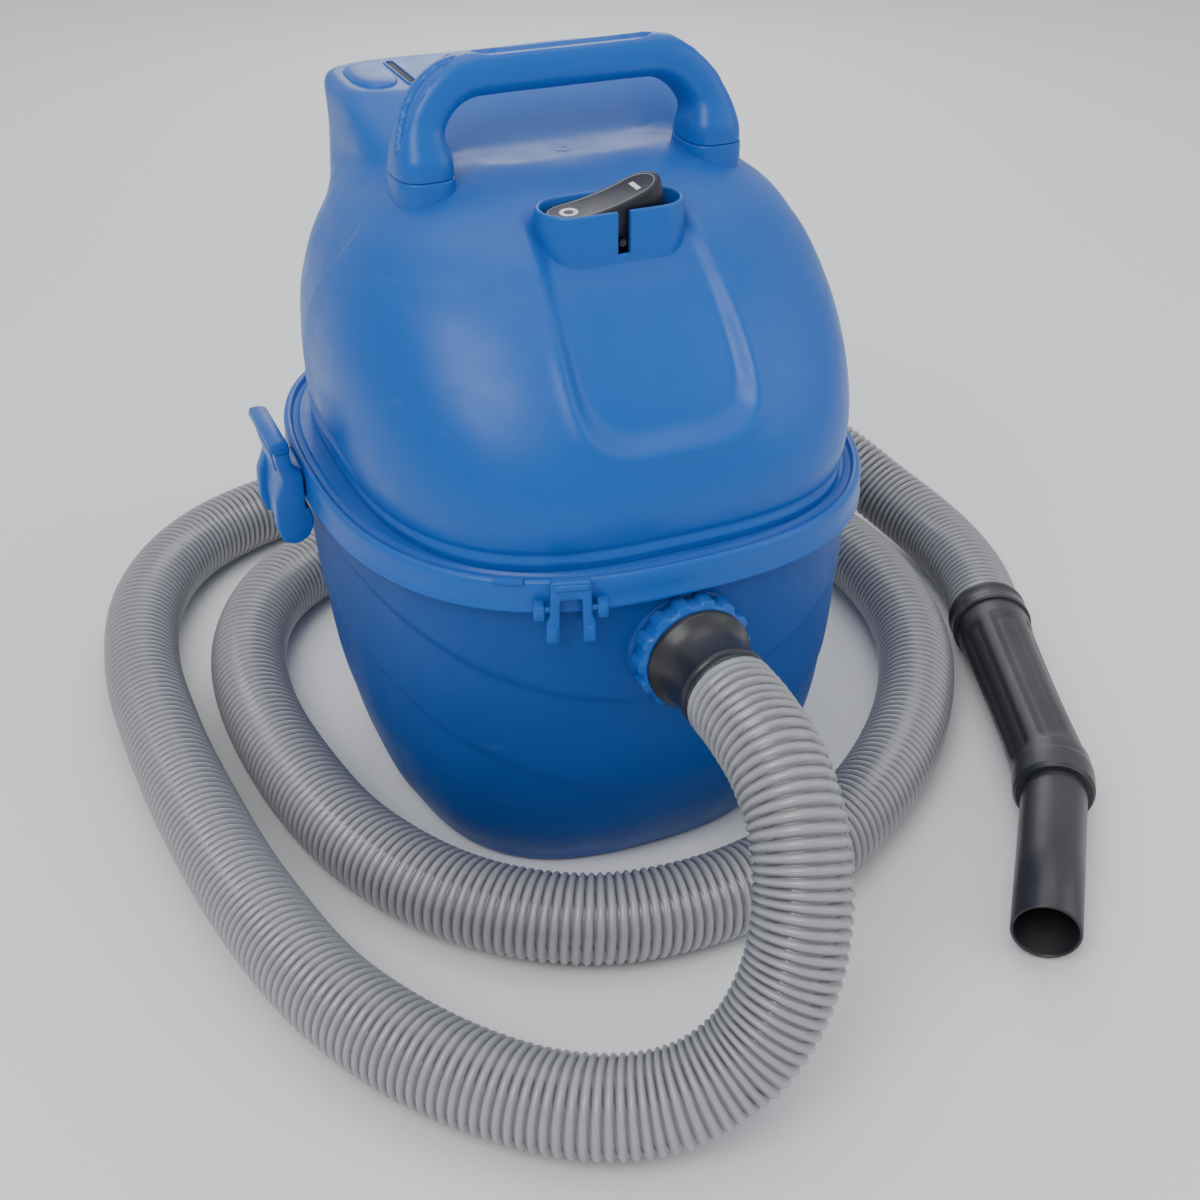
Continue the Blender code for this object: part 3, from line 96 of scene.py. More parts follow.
def soft_min(a: np.ndarray, b: np.ndarray, reach: float) -> np.ndarray:
    """Smaller of two distances, blended where they are near each other.

    Args:
        a: First distance.
        b: Second distance.
        reach: Difference within which they blend.

    Returns:
        The smaller one, less a quarter of the reach times the square of their nearness.
    """
    share = np.maximum(reach - np.abs(a - b), 0.0) / reach
    return np.minimum(a, b) - share * share * reach * 0.25


def soft_max(a: np.ndarray, b: np.ndarray, reach: float) -> np.ndarray:
    """Larger of two distances, blended where they are within reach of each other."""
    return -soft_min(-a, -b, reach)


def smooth_table(rows: Sequence[Sequence[float]], at: np.ndarray) -> np.ndarray:
    """Values of a table between its rows, on cubic curves without corners.

    Args:
        rows: Rows of a rising position followed by the values there.
        at: Positions to read.

    Returns:
        An array with the shape of the positions and one last axis for the values.
    """
    table = np.asarray(rows, float)
    place, value = table[:, 0], table[:, 1:]
    slope = np.gradient(value, place, axis=0)
    at = np.clip(at, place[0], place[-1])
    low = np.clip(np.searchsorted(place, at, side="right") - 1, 0, len(place) - 2)
    span = (place[low + 1] - place[low])[..., None]
    t = (at - place[low])[..., None] / span
    start, end = value[low], value[low + 1]
    lead, trail = slope[low] * span, slope[low + 1] * span
    return ((2 * t**3 - 3 * t**2 + 1) * start + (t**3 - 2 * t**2 + t) * lead
            + (3 * t**2 - 2 * t**3) * end + (t**3 - t**2) * trail)


def super_radius(angle: np.ndarray, half_x: float, half_y: np.ndarray, power: float) -> np.ndarray:
    """Radius of a superellipse at an angle.

    Args:
        angle: Angles round the middle.
        half_x: Half width.
        half_y: Half depth.
        power: 2 for an ellipse, more for squarer corners.

    Returns:
        One over the power-root of the sum of both cosines' shares raised to the power.
    """
    across = np.abs(np.cos(angle)) / half_x
    along = np.abs(np.sin(angle)) / half_y
    return (across**power + along**power) ** (-1.0 / power)


def turn_angles(count: int) -> np.ndarray:
    """Even angles round a full turn, without the repeated last one."""
    return np.linspace(0.0, FULL_TURN, count, endpoint=False)


def smooth_line(route: Sequence[Sequence[float]], count: int) -> np.ndarray:
    """Points at even spacing on a smooth curve through a route's points.

    Between two points runs a cubic whose slope at each is half the step between its neighbours.

    Args:
        route: Points that the curve passes through.
        count: Points wanted.

    Returns:
        The points, one row each.
    """
    fixed = np.asarray(route, float)
    padded = np.vstack((2.0 * fixed[0] - fixed[1], fixed, 2.0 * fixed[-1] - fixed[-2]))
    t = np.linspace(0.0, 1.0, 24, endpoint=False)[:, None]
    dense = []
    for p0, p1, p2, p3 in zip(padded[:-3], padded[1:-2], padded[2:-1], padded[3:]):
        dense.append(0.5 * (2.0 * p1 + (p2 - p0) * t + (2.0 * p0 - 5.0 * p1 + 4.0 * p2 - p3) * t**2
                            + (3.0 * p1 - p0 - 3.0 * p2 + p3) * t**3))
    line = np.vstack((*dense, fixed[-1:]))
    run = np.concatenate(([0.0], np.cumsum(np.linalg.norm(np.diff(line, axis=0), axis=1))))
    even = np.linspace(0.0, run[-1], count)
    return np.column_stack([np.interp(even, run, column) for column in line.T])


def line_length(line: np.ndarray) -> float:
    """Length of a run of points."""
    return float(np.linalg.norm(np.diff(line, axis=0), axis=1).sum())


def rounded_outline(corners: Sequence[Sequence[float]], radius: float | Sequence[float],
                    steps: int = 6) -> np.ndarray:
    """A flat closed outline whose corners are rounded.

    Args:
        corners: Corner points, in order.
        radius: One radius for all corners, or one for each.
        steps: Points on each rounded corner.

    Returns:
        The outline's points, anticlockwise.
    """
    points = np.asarray(corners, float)
    radii = np.broadcast_to(np.asarray(radius, float), (len(points),))
    area = np.sum(points[:, 0] * np.roll(points[:, 1], -1) - np.roll(points[:, 0], -1) * points[:, 1])
    if area < 0:
        points, radii = points[::-1], radii[::-1]
    outline = []
    share = np.linspace(0.0, 1.0, steps)[:, None]
    for before, at, after, size in zip(np.roll(points, 1, 0), points, np.roll(points, -1, 0), radii):
        back, ahead = before - at, after - at
        reach_back, reach_ahead = np.linalg.norm(back), np.linalg.norm(ahead)
        cut = min(size, 0.48 * reach_back, 0.48 * reach_ahead)
        start, end = at + back / reach_back * cut, at + ahead / reach_ahead * cut
        outline.append((1 - share) ** 2 * start + 2 * share * (1 - share) * at + share**2 * end)
    return np.vstack(outline)


def stadium(half_length: float, half_width: float, steps: int = 24) -> np.ndarray:
    """A flat outline with two straight sides and two round ends, anticlockwise from its right end.

    Args:
        half_length: Half its length along X.
        half_width: Half its width, which is the radius of its ends.
        steps: Points on each end.

    Returns:
        The outline's points.
    """
    straight = half_length - half_width
    turn = np.linspace(-math.pi / 2, math.pi / 2, steps)
    right = np.column_stack((straight + half_width * np.cos(turn), half_width * np.sin(turn)))
    top = np.column_stack((np.linspace(straight, -straight, 14)[1:-1], np.full(12, half_width)))
    return np.vstack((right, top, -right, -top))


def inset(outline: np.ndarray, amount: float) -> np.ndarray:
    """A closed anticlockwise outline moved inwards along its own normals.

    Args:
        outline: The outline's points.
        amount: How far it moves.

    Returns:
        The moved points; corners move further, so that both their sides move by the amount.
    """
    ahead = np.roll(outline, -1, 0) - outline
    ahead /= np.maximum(np.linalg.norm(ahead, axis=1), 1e-9)[:, None]
    back = np.roll(ahead, 1, 0)
    normal = np.column_stack((-(ahead + back)[:, 1], (ahead + back)[:, 0]))
    size = np.maximum(np.linalg.norm(normal, axis=1), 1e-9)
    return outline + normal / size[:, None] * amount * np.minimum(2.0 / size, 1.6)[:, None]


# ---------------------------------------------------------------- surfaces
@dataclass
class Surface:
    """Points and faces of one piece of surface.

    Attributes:
        points: Corner places, one row each.
        faces: Faces as lists of point numbers.
        shade: A value for each point, which a finish may read as the attribute "shade"; on the hose it
            marks the grooves, where the finish paints shade.
    """

    points: np.ndarray
    faces: list[list[int]]
    shade: np.ndarray | None = None

    @staticmethod
    def grid(rows: np.ndarray, close_low: bool = False, close_high: bool = False,
             loop: bool = False, shade: np.ndarray | None = None) -> "Surface":
        """A surface over rows of points, where each row's last point joins its first.

        Args:
            rows: Array of rows, of points in a row, of three coordinates.
            close_low: Whether a flat face closes the first row.
            close_high: Whether a flat face closes the last row.
            loop: Whether the last row joins the first.
            shade: One value for each point.

        Returns:
            The surface, turned so that it faces outwards.
        """
        count, around = rows.shape[:2]
        index = np.arange(count * around).reshape(count, around)
        index = np.hstack((index, index[:, :1]))
        if loop:
            index = np.vstack((index, index[:1]))
        quads = np.stack((index[:-1, :-1], index[:-1, 1:], index[1:, 1:], index[1:, :-1]), axis=-1)
        faces = quads.reshape(-1, 4).tolist()
        if close_low:
            faces.append(index[0, :around][::-1].tolist())
        if close_high:
            faces.append(index[-1, :around].tolist())
        values = None if shade is None else np.asarray(shade, float).ravel()
        return Surface(rows.reshape(-1, 3).astype(float), faces, values).outward()

    def outward(self) -> "Surface":
        """Turn all the faces if the surface's signed volume about its middle is below zero."""
        local = self.points - self.points.mean(axis=0)
        fans = [(f[0], f[k], f[k + 1]) for f in self.faces if len(f) > 4 for k in range(1, len(f) - 1)]
        four = np.array([f for f in self.faces if len(f) == 4], int).reshape(-1, 4)
        three = np.vstack((np.array([f for f in self.faces if len(f) == 3], int).reshape(-1, 3),
                           np.array(fans, int).reshape(-1, 3), four[:, [0, 1, 2]], four[:, [0, 2, 3]]))
        a, b, c = local[three[:, 0]], local[three[:, 1]], local[three[:, 2]]
        if np.einsum("ij,ij->i", a, np.cross(b, c)).sum() < 0:
            self.faces = [f[::-1] for f in self.faces]
        return self

    def keep(self, wanted: np.ndarray) -> "Surface":
        """Only the faces all of whose points are wanted."""
        self.faces = [f for f in self.faces if all(wanted[f])]
        return self

    def placed(self, matrix: Matrix) -> "Surface":
        """This surface moved by a matrix."""
        full = np.array(matrix)
        return Surface(self.points @ full[:3, :3].T + full[:3, 3], self.faces, self.shade)

    def mirrored(self) -> "Surface":
        """This surface's image across x = 0, still facing outwards."""
        return Surface(self.points * (-1.0, 1.0, 1.0), [f[::-1] for f in self.faces], self.shade)

    @staticmethod
    def merged(parts: Sequence["Surface"]) -> "Surface":
        """Several surfaces as one.

        Args:
            parts: The surfaces.

        Returns:
            One surface, whose points and faces follow in the same order.
        """
        points, faces, shade, start = [], [], [], 0
        for part in parts:
            points.append(part.points)
            faces += [[number + start for number in face] for face in part.faces]
            shade.append(np.zeros(len(part.points)) if part.shade is None else part.shade)
            start += len(part.points)
        return Surface(np.vstack(points), faces, np.concatenate(shade))

    def build(self, name: str, material: bpy.types.Material, crease: float = 38.0) -> bpy.types.Object:
        """Make the object.

        Args:
            name: The object's name.
            material: Its finish.
            crease: Angle in degrees above which an edge stays sharp.

        Returns:
            The object, linked to the scene.
        """
        mesh = bpy.data.meshes.new(name)
        mesh.from_pydata(self.points.tolist(), [], self.faces)
        mesh.polygons.foreach_set("use_smooth", np.ones(len(mesh.polygons), bool))
        if self.shade is not None:
            layer = mesh.attributes.new("shade", "FLOAT", "POINT")
            layer.data.foreach_set("value", self.shade.astype(np.float32))
        mesh.set_sharp_from_angle(angle=math.radians(crease))
        mesh.materials.append(material)
        made = bpy.data.objects.new(name, mesh)
        bpy.context.scene.collection.objects.link(made)
        LOG.info("%s: %d faces", name, len(self.faces))
        return made


def prism(outline: np.ndarray, low: float, high: float, bevel: float, steps: int = 4) -> Surface:
    """A flat outline drawn up into a solid with rounded edges.

    Args:
        outline: Closed anticlockwise outline.
        low: Height of the lower face.
        high: Height of the upper face.
        bevel: Radius of its edges.
        steps: Rows on each rounded edge.

    Returns:
        The solid, standing along its own Z.
    """
    turn = np.linspace(0.0, math.pi / 2, steps)
    rows = []
    for angle in turn:
        edge = inset(outline, bevel * (1 - math.sin(angle)))
        rows.append(np.column_stack((edge, np.full(len(edge), low + bevel * (1 - math.cos(angle))))))
    for angle in turn[::-1]:
        edge = inset(outline, bevel * (1 - math.sin(angle)))
        rows.append(np.column_stack((edge, np.full(len(edge), high - bevel * (1 - math.cos(angle))))))
    return Surface.grid(np.array(rows), close_low=True, close_high=True)


def block(low: Sequence[float], high: Sequence[float], bevel: float) -> Surface:
    """A box with rounded edges.

    Args:
        low: Its lowest corner.
        high: Its highest corner.
        bevel: Radius of its edges.

    Returns:
        The box.
    """
    corners = ((low[0], low[1]), (high[0], low[1]), (high[0], high[1]), (low[0], high[1]))
    return prism(rounded_outline(corners, bevel * 1.6, 4), low[2], high[2], bevel, 3)


# Turns for parts that are drawn along Z and point along X, forwards or backwards.
AXES = {
    "x": Matrix(((0, 0, 1, 0), (1, 0, 0, 0), (0, 1, 0, 0), (0, 0, 0, 1))),
    "y": Matrix(((1, 0, 0, 0), (0, 0, -1, 0), (0, 1, 0, 0), (0, 0, 0, 1))),
    "back": Matrix(((-1, 0, 0, 0), (0, 0, 1, 0), (0, 1, 0, 0), (0, 0, 0, 1))),
}


def turned(profile: Sequence[Sequence[float]], sides: int, close: bool = False, ribs: int = 0,
           rib_height: float = 0.0, rib_rows: Sequence[int] = ()) -> Surface:
    """A profile turned about Z.

    Args:
        profile: Rows of radius and height; the first and last are closed with a face, or joined.
        sides: Points round it.
        close: Whether the profile is a loop instead.
        ribs: Number of ribs round it.
        rib_height: How far the ribs stand out.
        rib_rows: The rows that carry the ribs.

    Returns:
        The turned surface.
    """
    angle = turn_angles(sides)
    wave = rib_height * ease(np.cos(angle * ribs) * 1.5 + 0.5)
    rows = []
    for number, (radius, height) in enumerate(profile):
        reach = radius + (wave if number in rib_rows else 0.0) * np.ones(sides)
        rows.append(np.column_stack((reach * np.cos(angle), reach * np.sin(angle), np.full(sides, height))))
    return Surface.grid(np.array(rows), close_low=not close, close_high=not close, loop=close)


def frames_along(line: np.ndarray, first_side: Sequence[float]) -> tuple[np.ndarray, np.ndarray]:
    """Side and upward directions along a line, carried along it without twisting.

    Args:
        line: The line's points.
        first_side: Side direction to start from.

    Returns:
        Two arrays of unit directions, both at right angles to the line.
    """
    ahead = np.gradient(line, axis=0)
    ahead /= np.linalg.norm(ahead, axis=1)[:, None]
    side = np.asarray(first_side, float)
    sides = []
    for way in ahead:
        side = side - way * float(side @ way)
        side = side / np.linalg.norm(side)
        sides.append(side)
    sides = np.array(sides)
    return sides, np.cross(ahead, sides)


def tube_rows(line: np.ndarray, radius: np.ndarray, angle: np.ndarray,
              first_side: Sequence[float]) -> np.ndarray:
    """Rows of points round a line.

    Args:
        line: The line's points.
        radius: Radius for each row and angle.
        angle: Angles round the line, from the side direction.
        first_side: Side direction at its start.

    Returns:
        Array of rows, of points in a row, of three coordinates.
    """
    side, up = frames_along(line, first_side)
    across = side[:, None, :] * np.cos(angle)[None, :, None] + up[:, None, :] * np.sin(angle)[None, :, None]
    return line[:, None, :] + across * np.broadcast_to(radius, (len(line), len(angle)))[..., None]


# ---------------------------------------------------------------- finishes
Input = float | tuple | bpy.types.NodeSocket


class Graph:
    """Nodes of one material or node group."""

    def __init__(self, tree: bpy.types.NodeTree) -> None:
        """Empty the tree and start counting its nodes."""
        self.tree = tree
        tree.nodes.clear()
        self.count = 0

    def node(self, kind: str, settings: dict | None = None, **inputs) -> bpy.types.Node:
        """Add a node.

        Args:
            kind: Its type name.
            settings: Its properties.
            **inputs: Values or sockets for its inputs, by name with underscores, or by i and a number.

        Returns:
            The node.
        """
        made = self.tree.nodes.new(kind)
        self.count += 1
        made.location = (self.count * 180.0, (self.count % 4) * -160.0)
        for name, value in (settings or {}).items():
            setattr(made, name, value)
        for name, value in inputs.items():
            numbered = name[0] == "i" and name[1:].isdigit()
            socket = made.inputs[int(name[1:])] if numbered else made.inputs[name.replace("_", " ")]
            if isinstance(value, bpy.types.NodeSocket):
                self.tree.links.new(value, socket)
            else:
                socket.default_value = value
        return made

    def shared(self, tree: bpy.types.NodeTree, **inputs) -> bpy.types.NodeSocket:
        """The output of a shared node group with its own values."""
        return self.node("ShaderNodeGroup", {"node_tree": tree}, **inputs).outputs[0]

    def math(self, operation: str, a: Input, b: Input = 0.0, clamp: bool = False) -> bpy.types.NodeSocket:
        """A sum on one or two values."""
        settings = {"operation": operation, "use_clamp": clamp}
        return self.node("ShaderNodeMath", settings, i0=a, i1=b).outputs[0]

    def noise(self, where: Input, scale: float, detail: float = 3.0) -> bpy.types.NodeSocket:
        """Smooth noise between 0 and 1."""
        return self.node("ShaderNodeTexNoise", Vector=where, Scale=scale, Detail=detail).outputs["Fac"]

    def ramp(self, value: Input, low: float, high: float, to_low: float = 0.0,
             to_high: float = 1.0) -> bpy.types.NodeSocket:
        """A value mapped from one range to another, held at its ends.

        Args:
            value: The value.
            low: Lower end of its range.
            high: Upper end of its range.
            to_low: What the lower end becomes.
            to_high: What the upper end becomes.

        Returns:
            The mapped value.
        """
        made = self.node("ShaderNodeMapRange", {"clamp": True}, Value=value)
        ends = {"From Min": low, "From Max": high, "To Min": to_low, "To Max": to_high}
        for name, number in ends.items():
            made.inputs[name].default_value = number
        return made.outputs[0]

    def blend(self, share: Input, first: Input, second: Input) -> bpy.types.NodeSocket:
        """Two colours mixed by a share.

        Args:
            share: How much of the second there is.
            first: The first colour.
            second: The second colour.

        Returns:
            The mixed colour.
        """
        made = self.node("ShaderNodeMix", {"data_type": "RGBA"})
        for socket, value in ((made.inputs[0], share), (made.inputs[6], first), (made.inputs[7], second)):
            if isinstance(value, bpy.types.NodeSocket):
                self.tree.links.new(value, socket)
            else:
                socket.default_value = value
        return made.outputs[2]


def shared_group(name: str, inputs: Sequence[tuple[str, str]],
                 output: str) -> tuple[Graph, bpy.types.Node] | None:
    """Start a node group.

    Args:
        name: Its name.
        inputs: Name and type of each input.
        output: Name of its output, a number.

    Returns:
        Its graph and its input node, or None if the group exists.
    """
    if name in bpy.data.node_groups:
        return None
    tree = bpy.data.node_groups.new(name, "ShaderNodeTree")
    for label, kind in inputs:
        tree.interface.new_socket(name=label, in_out="INPUT", socket_type=kind)
    tree.interface.new_socket(name=output, in_out="OUTPUT", socket_type="NodeSocketFloat")
    graph = Graph(tree)
    return graph, graph.node("NodeGroupInput")


def grain_group() -> bpy.types.NodeTree:
    """Height of the fine leather-like grain of moulded plastic."""
    started = shared_group("moulded_grain", (("Place", "NodeSocketVector"), ("Scale", "NodeSocketFloat")),
                           "Height")
    if started:
        graph, entry = started
        cells = graph.node("ShaderNodeTexVoronoi", Vector=entry.outputs[0],
                           Scale=entry.outputs[1]).outputs["Distance"]
        fine = graph.node("ShaderNodeTexNoise", Vector=entry.outputs[0], Scale=entry.outputs[1], Detail=2.0)
        height = graph.math("ADD", graph.math("MULTIPLY", cells, 0.55),
                            graph.math("MULTIPLY", fine.outputs["Fac"], 0.45))
        graph.node("NodeGroupOutput", i0=height)
    return bpy.data.node_groups["moulded_grain"]


def wear_group() -> bpy.types.NodeTree:
    """Mask of faint rubs and scuffs, in short streaks."""
    started = shared_group("faint_scuffs", (("Place", "NodeSocketVector"), ("Amount", "NodeSocketFloat")),
                           "Mask")
    if started:
        graph, entry = started
        stretch = graph.node("ShaderNodeMapping", Vector=entry.outputs[0], Scale=(3.0, 3.0, 22.0),
                             Rotation=(0.5, 0.9, 0.2)).outputs[0]
        streak = graph.ramp(graph.noise(stretch, 9.0, 5.0), 0.63, 0.76)
        patch = graph.ramp(graph.noise(entry.outputs[0], 14.0, 2.0), 0.50, 0.68)
        mask = graph.math("MULTIPLY", graph.math("MULTIPLY", streak, patch), entry.outputs[1], True)
        graph.node("NodeGroupOutput", i0=mask)
    return bpy.data.node_groups["faint_scuffs"]


def dust_group() -> bpy.types.NodeTree:
    """Mask of a thin film of dust on surfaces that face up."""
    started = shared_group("settled_dust", (("Place", "NodeSocketVector"), ("Amount", "NodeSocketFloat")),
                           "Mask")
    if started:
        graph, entry = started
        normal = graph.node("ShaderNodeNewGeometry").outputs["Normal"]
        upward = graph.node("ShaderNodeSeparateXYZ", i0=normal).outputs[2]
        facing = graph.ramp(upward, 0.55, 1.0)
        patch = graph.ramp(graph.noise(entry.outputs[0], 24.0, 4.0), 0.35, 0.75, 0.35, 1.0)
        mask = graph.math("MULTIPLY", graph.math("MULTIPLY", facing, patch), entry.outputs[1], True)
        graph.node("NodeGroupOutput", i0=mask)
    return bpy.data.node_groups["settled_dust"]


DUST_COLOUR = (0.62, 0.60, 0.56, 1.0)
SCUFF_SHARE = 0.35
SCUFF_ROUGHNESS = 0.12
ROUGHNESS_DRIFT = 0.05
# Share of its own colour that the painted shade in the hose's grooves darkens to.
GROOVE_SHADE_COLOUR = 0.12
RING_COLOUR = 0.3
COAT_ROUGHNESS = 0.25


@dataclass(frozen=True)
class Finish:
    """One procedural finish.

    Attributes:
        name: The material's name.
        colour: Its colour, linear.
        second: The colour that it drifts to, over large soft patches.
        roughness: Middle roughness.
        metallic: How metallic it is.
        grain: Height of its grain in metres.
        grain_scale: Grains to a metre.
        scuffs: Amount of rubs.
        dust: Amount of settled dust.
        coat: Weight of the clear gloss on top.
        shine: Level of the plain reflection, 0.5 for an ordinary plastic.
        groove: How dark the places with a high "shade" are; this is painted shade in the hose's grooves.
        wave_scale: Rings or laminations to a metre, along Z, or 0.
    """

    name: str
    colour: tuple[float, float, float]
    second: tuple[float, float, float]
    roughness: float = 0.4
    metallic: float = 0.0
    grain: float = 0.00004
    grain_scale: float = 1500.0
    scuffs: float = 0.25
    dust: float = 0.05
    coat: float = 0.0
    shine: float = 0.5
    groove: float = 0.0
    wave_scale: float = 0.0

    def material(self) -> bpy.types.Material:
        """Make the material, or find the one made before."""
        found = bpy.data.materials.get(self.name)
        if found:
            return found
        made = bpy.data.materials.new(self.name)
        made.use_nodes = True
        graph = Graph(made.node_tree)
        where = graph.node("ShaderNodeTexCoord").outputs["Object"]
        drift = graph.ramp(graph.noise(where, 7.0, 2.0), 0.3, 0.7)
        colour = graph.blend(drift, (*self.colour, 1.0), (*self.second, 1.0))
        scuffs = graph.shared(wear_group(), Place=where, Amount=self.scuffs)
        dust = graph.shared(dust_group(), Place=where, Amount=self.dust)
        light = tuple(min(1.0, 0.55 * part + 0.30) for part in self.colour)
        colour = graph.blend(graph.math("MULTIPLY", scuffs, SCUFF_SHARE), colour, (*light, 1.0))
        colour = graph.blend(dust, colour, DUST_COLOUR)
        # Painted shade: where "shade" is high, deep in the hose's grooves, the colour is darkened.
        if self.groove:
            shade = graph.node("ShaderNodeAttribute", {"attribute_name": "shade"}).outputs["Fac"]
            colour = graph.blend(graph.math("MULTIPLY", shade, self.groove), colour,
                                 (*(GROOVE_SHADE_COLOUR * part for part in self.colour), 1.0))
        patches = graph.ramp(graph.noise(where, 60.0, 3.0), 0.3, 0.7, self.roughness - ROUGHNESS_DRIFT,
                             self.roughness + ROUGHNESS_DRIFT)
        rough = graph.math("ADD", patches, graph.math("MULTIPLY", scuffs, SCUFF_ROUGHNESS))
        height = graph.shared(grain_group(), Place=where, Scale=self.grain_scale)
        if self.wave_scale:
            along = graph.node("ShaderNodeSeparateXYZ", i0=where).outputs[2]
            rings = graph.math("SINE", graph.math("MULTIPLY", along, self.wave_scale * FULL_TURN))
            height = graph.math("ADD", height, graph.math("MULTIPLY", rings, 2.0))
            colour = graph.blend(graph.ramp(rings, -1.0, 0.2, 0.6, 0.0), colour,
                                 (*(RING_COLOUR * part for part in self.colour), 1.0))
        bump = graph.node("ShaderNodeBump", Height=height, Distance=self.grain, Strength=1.0).outputs[0]
        shader = graph.node("ShaderNodeBsdfPrincipled", Base_Color=colour, Roughness=rough,
                            Metallic=self.metallic, Normal=bump, Coat_Weight=self.coat,
                            Coat_Roughness=COAT_ROUGHNESS, Specular_IOR_Level=self.shine)
        graph.node("ShaderNodeOutputMaterial", Surface=shader.outputs[0])
        return made


BLUE_SHELL = Finish("blue_shell_finish", (0.0002, 0.105, 0.470), (0.0002, 0.092, 0.420), 0.36, shine=0.40)
BLUE_TANK = Finish("blue_tank_finish", (0.0002, 0.068, 0.330), (0.0002, 0.058, 0.285), 0.44, grain=0.00006,
                   shine=0.32)
BLACK_SATIN = Finish("black_satin_finish", (0.017, 0.017, 0.021), (0.022, 0.022, 0.027), 0.34,
                     grain=0.00003)
BLACK_SWITCH = Finish("black_switch_finish", (0.011, 0.011, 0.018), (0.014, 0.014, 0.022), 0.38,
                      grain=0.00002, scuffs=0.1, dust=0.01, shine=0.4)
# Its groove setting paints shade into the hose's grooves.
HOSE_SILVER = Finish("silver_hose_finish", (0.37, 0.37, 0.385), (0.32, 0.32, 0.335), 0.33, metallic=0.15,
                     grain=0.00002, scuffs=0.5, coat=0.15, groove=0.85)
MARK_WHITE = Finish("white_mark_finish", (0.80, 0.80, 0.82), (0.76, 0.76, 0.78), 0.5, grain=0.00001,
                    scuffs=0.1, dust=0.02)
MARK_GREY = Finish("grey_line_finish", (0.23, 0.24, 0.27), (0.20, 0.21, 0.24), 0.5, grain=0.00001)
FOAM = Finish("grey_foam_finish", (0.060, 0.062, 0.066), (0.045, 0.046, 0.050), 0.9, grain=0.0004,
              grain_scale=700.0)
RUBBER = Finish("rubber_finish", (0.020, 0.020, 0.020), (0.028, 0.028, 0.028), 0.7, grain=0.00004)
STEEL = Finish("steel_finish", (0.52, 0.52, 0.53), (0.45, 0.45, 0.46), 0.30, metallic=1.0, grain=0.00001)
DARK_STEEL = Finish("dark_pin_finish", (0.050, 0.050, 0.053), (0.040, 0.040, 0.043), 0.35, metallic=1.0,
                    grain=0.00001)
LAMINATED = Finish("laminated_steel_finish", (0.34, 0.34, 0.35), (0.28, 0.28, 0.29), 0.42, metallic=1.0,
                   grain=0.00005, wave_scale=1400.0)
COPPER = Finish("copper_winding_finish", (0.60, 0.21, 0.09), (0.50, 0.17, 0.07), 0.35, metallic=1.0,
                grain=0.0001, wave_scale=1100.0)
WHITE_PLASTIC = Finish("white_plastic_finish", (0.66, 0.66, 0.62), (0.60, 0.60, 0.56), 0.42)
FLOOR = Finish("pale_floor_finish", (0.86, 0.86, 0.86), (0.86, 0.86, 0.86), 0.85, grain=0.00001, scuffs=0.0,
               dust=0.0)


# ---------------------------------------------------------------- base class
@dataclass
class Assembly:
    """A group of pieces that the machine is built from."""

    made: list[bpy.types.Object] = field(default_factory=list)

    def show(self, surface: Surface, name: str, finish: Finish, slot: Slot, body: Body,
             replaces: Sequence[str] = (), crease: float = 38.0) -> bpy.types.Object:
        """Build a surface and hang it on its body.

        Args:
            surface: The shape.
            name: The piece's name.
            finish: How it looks.
            slot: The record's material slot; not used.
            body: The body it moves with.
            replaces: Plain pieces that it stands for.
            crease: Angle above which an edge stays sharp.

        Returns:
            The object.
        """
        made = surface.build(name, finish.material(), crease)
        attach(made, body.value)
        if replaces:
            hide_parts(*replaces)
        self.made.append(made)
        return made


# ---------------------------------------------------------------- hose and wand
INLET_Z = 0.1450
FADE_LENGTH = 0.008
WAND_START = np.array((0.2650, -0.0300, 0.0238))
WAND_BEND = np.array((0.2060, -0.1800, 0.0238))
WAND_TIP = np.array((0.1360, -0.2700, 0.0181))
HOSE_ROUTE = (
    (0.0, -0.1968, 0.1450), (0.0, -0.2165, 0.1444), (-0.0005, -0.242, 0.1390), (-0.003, -0.2655, 0.1240),
    (-0.009, -0.2840, 0.0985), (-0.0215, -0.2965, 0.0690), (-0.0435, -0.3020, 0.0430),
    (-0.0765, -0.2980, 0.0275), (-0.117, -0.2780, 0.0228), (-0.157, -0.2370, 0.0225),
    (-0.188, -0.180, 0.0225), (-0.206, -0.110, 0.0225), (-0.216, -0.035, 0.0225), (-0.221, 0.045, 0.0225),
    (-0.219, 0.120, 0.0225), (-0.203, 0.187, 0.0225), (-0.168, 0.240, 0.0225), (-0.115, 0.272, 0.0225),
    (-0.050, 0.284, 0.0225), (0.020, 0.281, 0.0225), (0.090, 0.262, 0.0225), (0.150, 0.226, 0.0225),
    (0.196, 0.174, 0.0225), (0.222, 0.110, 0.0225), (0.227, 0.040, 0.0225), (0.211, -0.030, 0.0225),
    (0.175, -0.090, 0.0225), (0.123, -0.142, 0.0225), (0.063, -0.177, 0.0225), (0.000, -0.190, 0.0225),
    (-0.062, -0.180, 0.0225), (-0.113, -0.142, 0.0225), (-0.146, -0.085, 0.0225),
    (-0.162, -0.015, 0.0225), (-0.166, 0.060, 0.0225), (-0.154, 0.123, 0.0225), (-0.123, 0.172, 0.0225),
    (-0.074, 0.201, 0.0225), (-0.012, 0.211, 0.0235), (0.048, 0.212, 0.0330), (0.104, 0.209, 0.0540),
    (0.158, 0.202, 0.0695), (0.208, 0.186, 0.0700), (0.2500, 0.155, 0.0560), (0.2770, 0.110, 0.0350),
    (0.2880, 0.060, 0.0248), (0.28110, 0.01095, 0.0238), (0.26511, -0.02972, 0.0238),
)


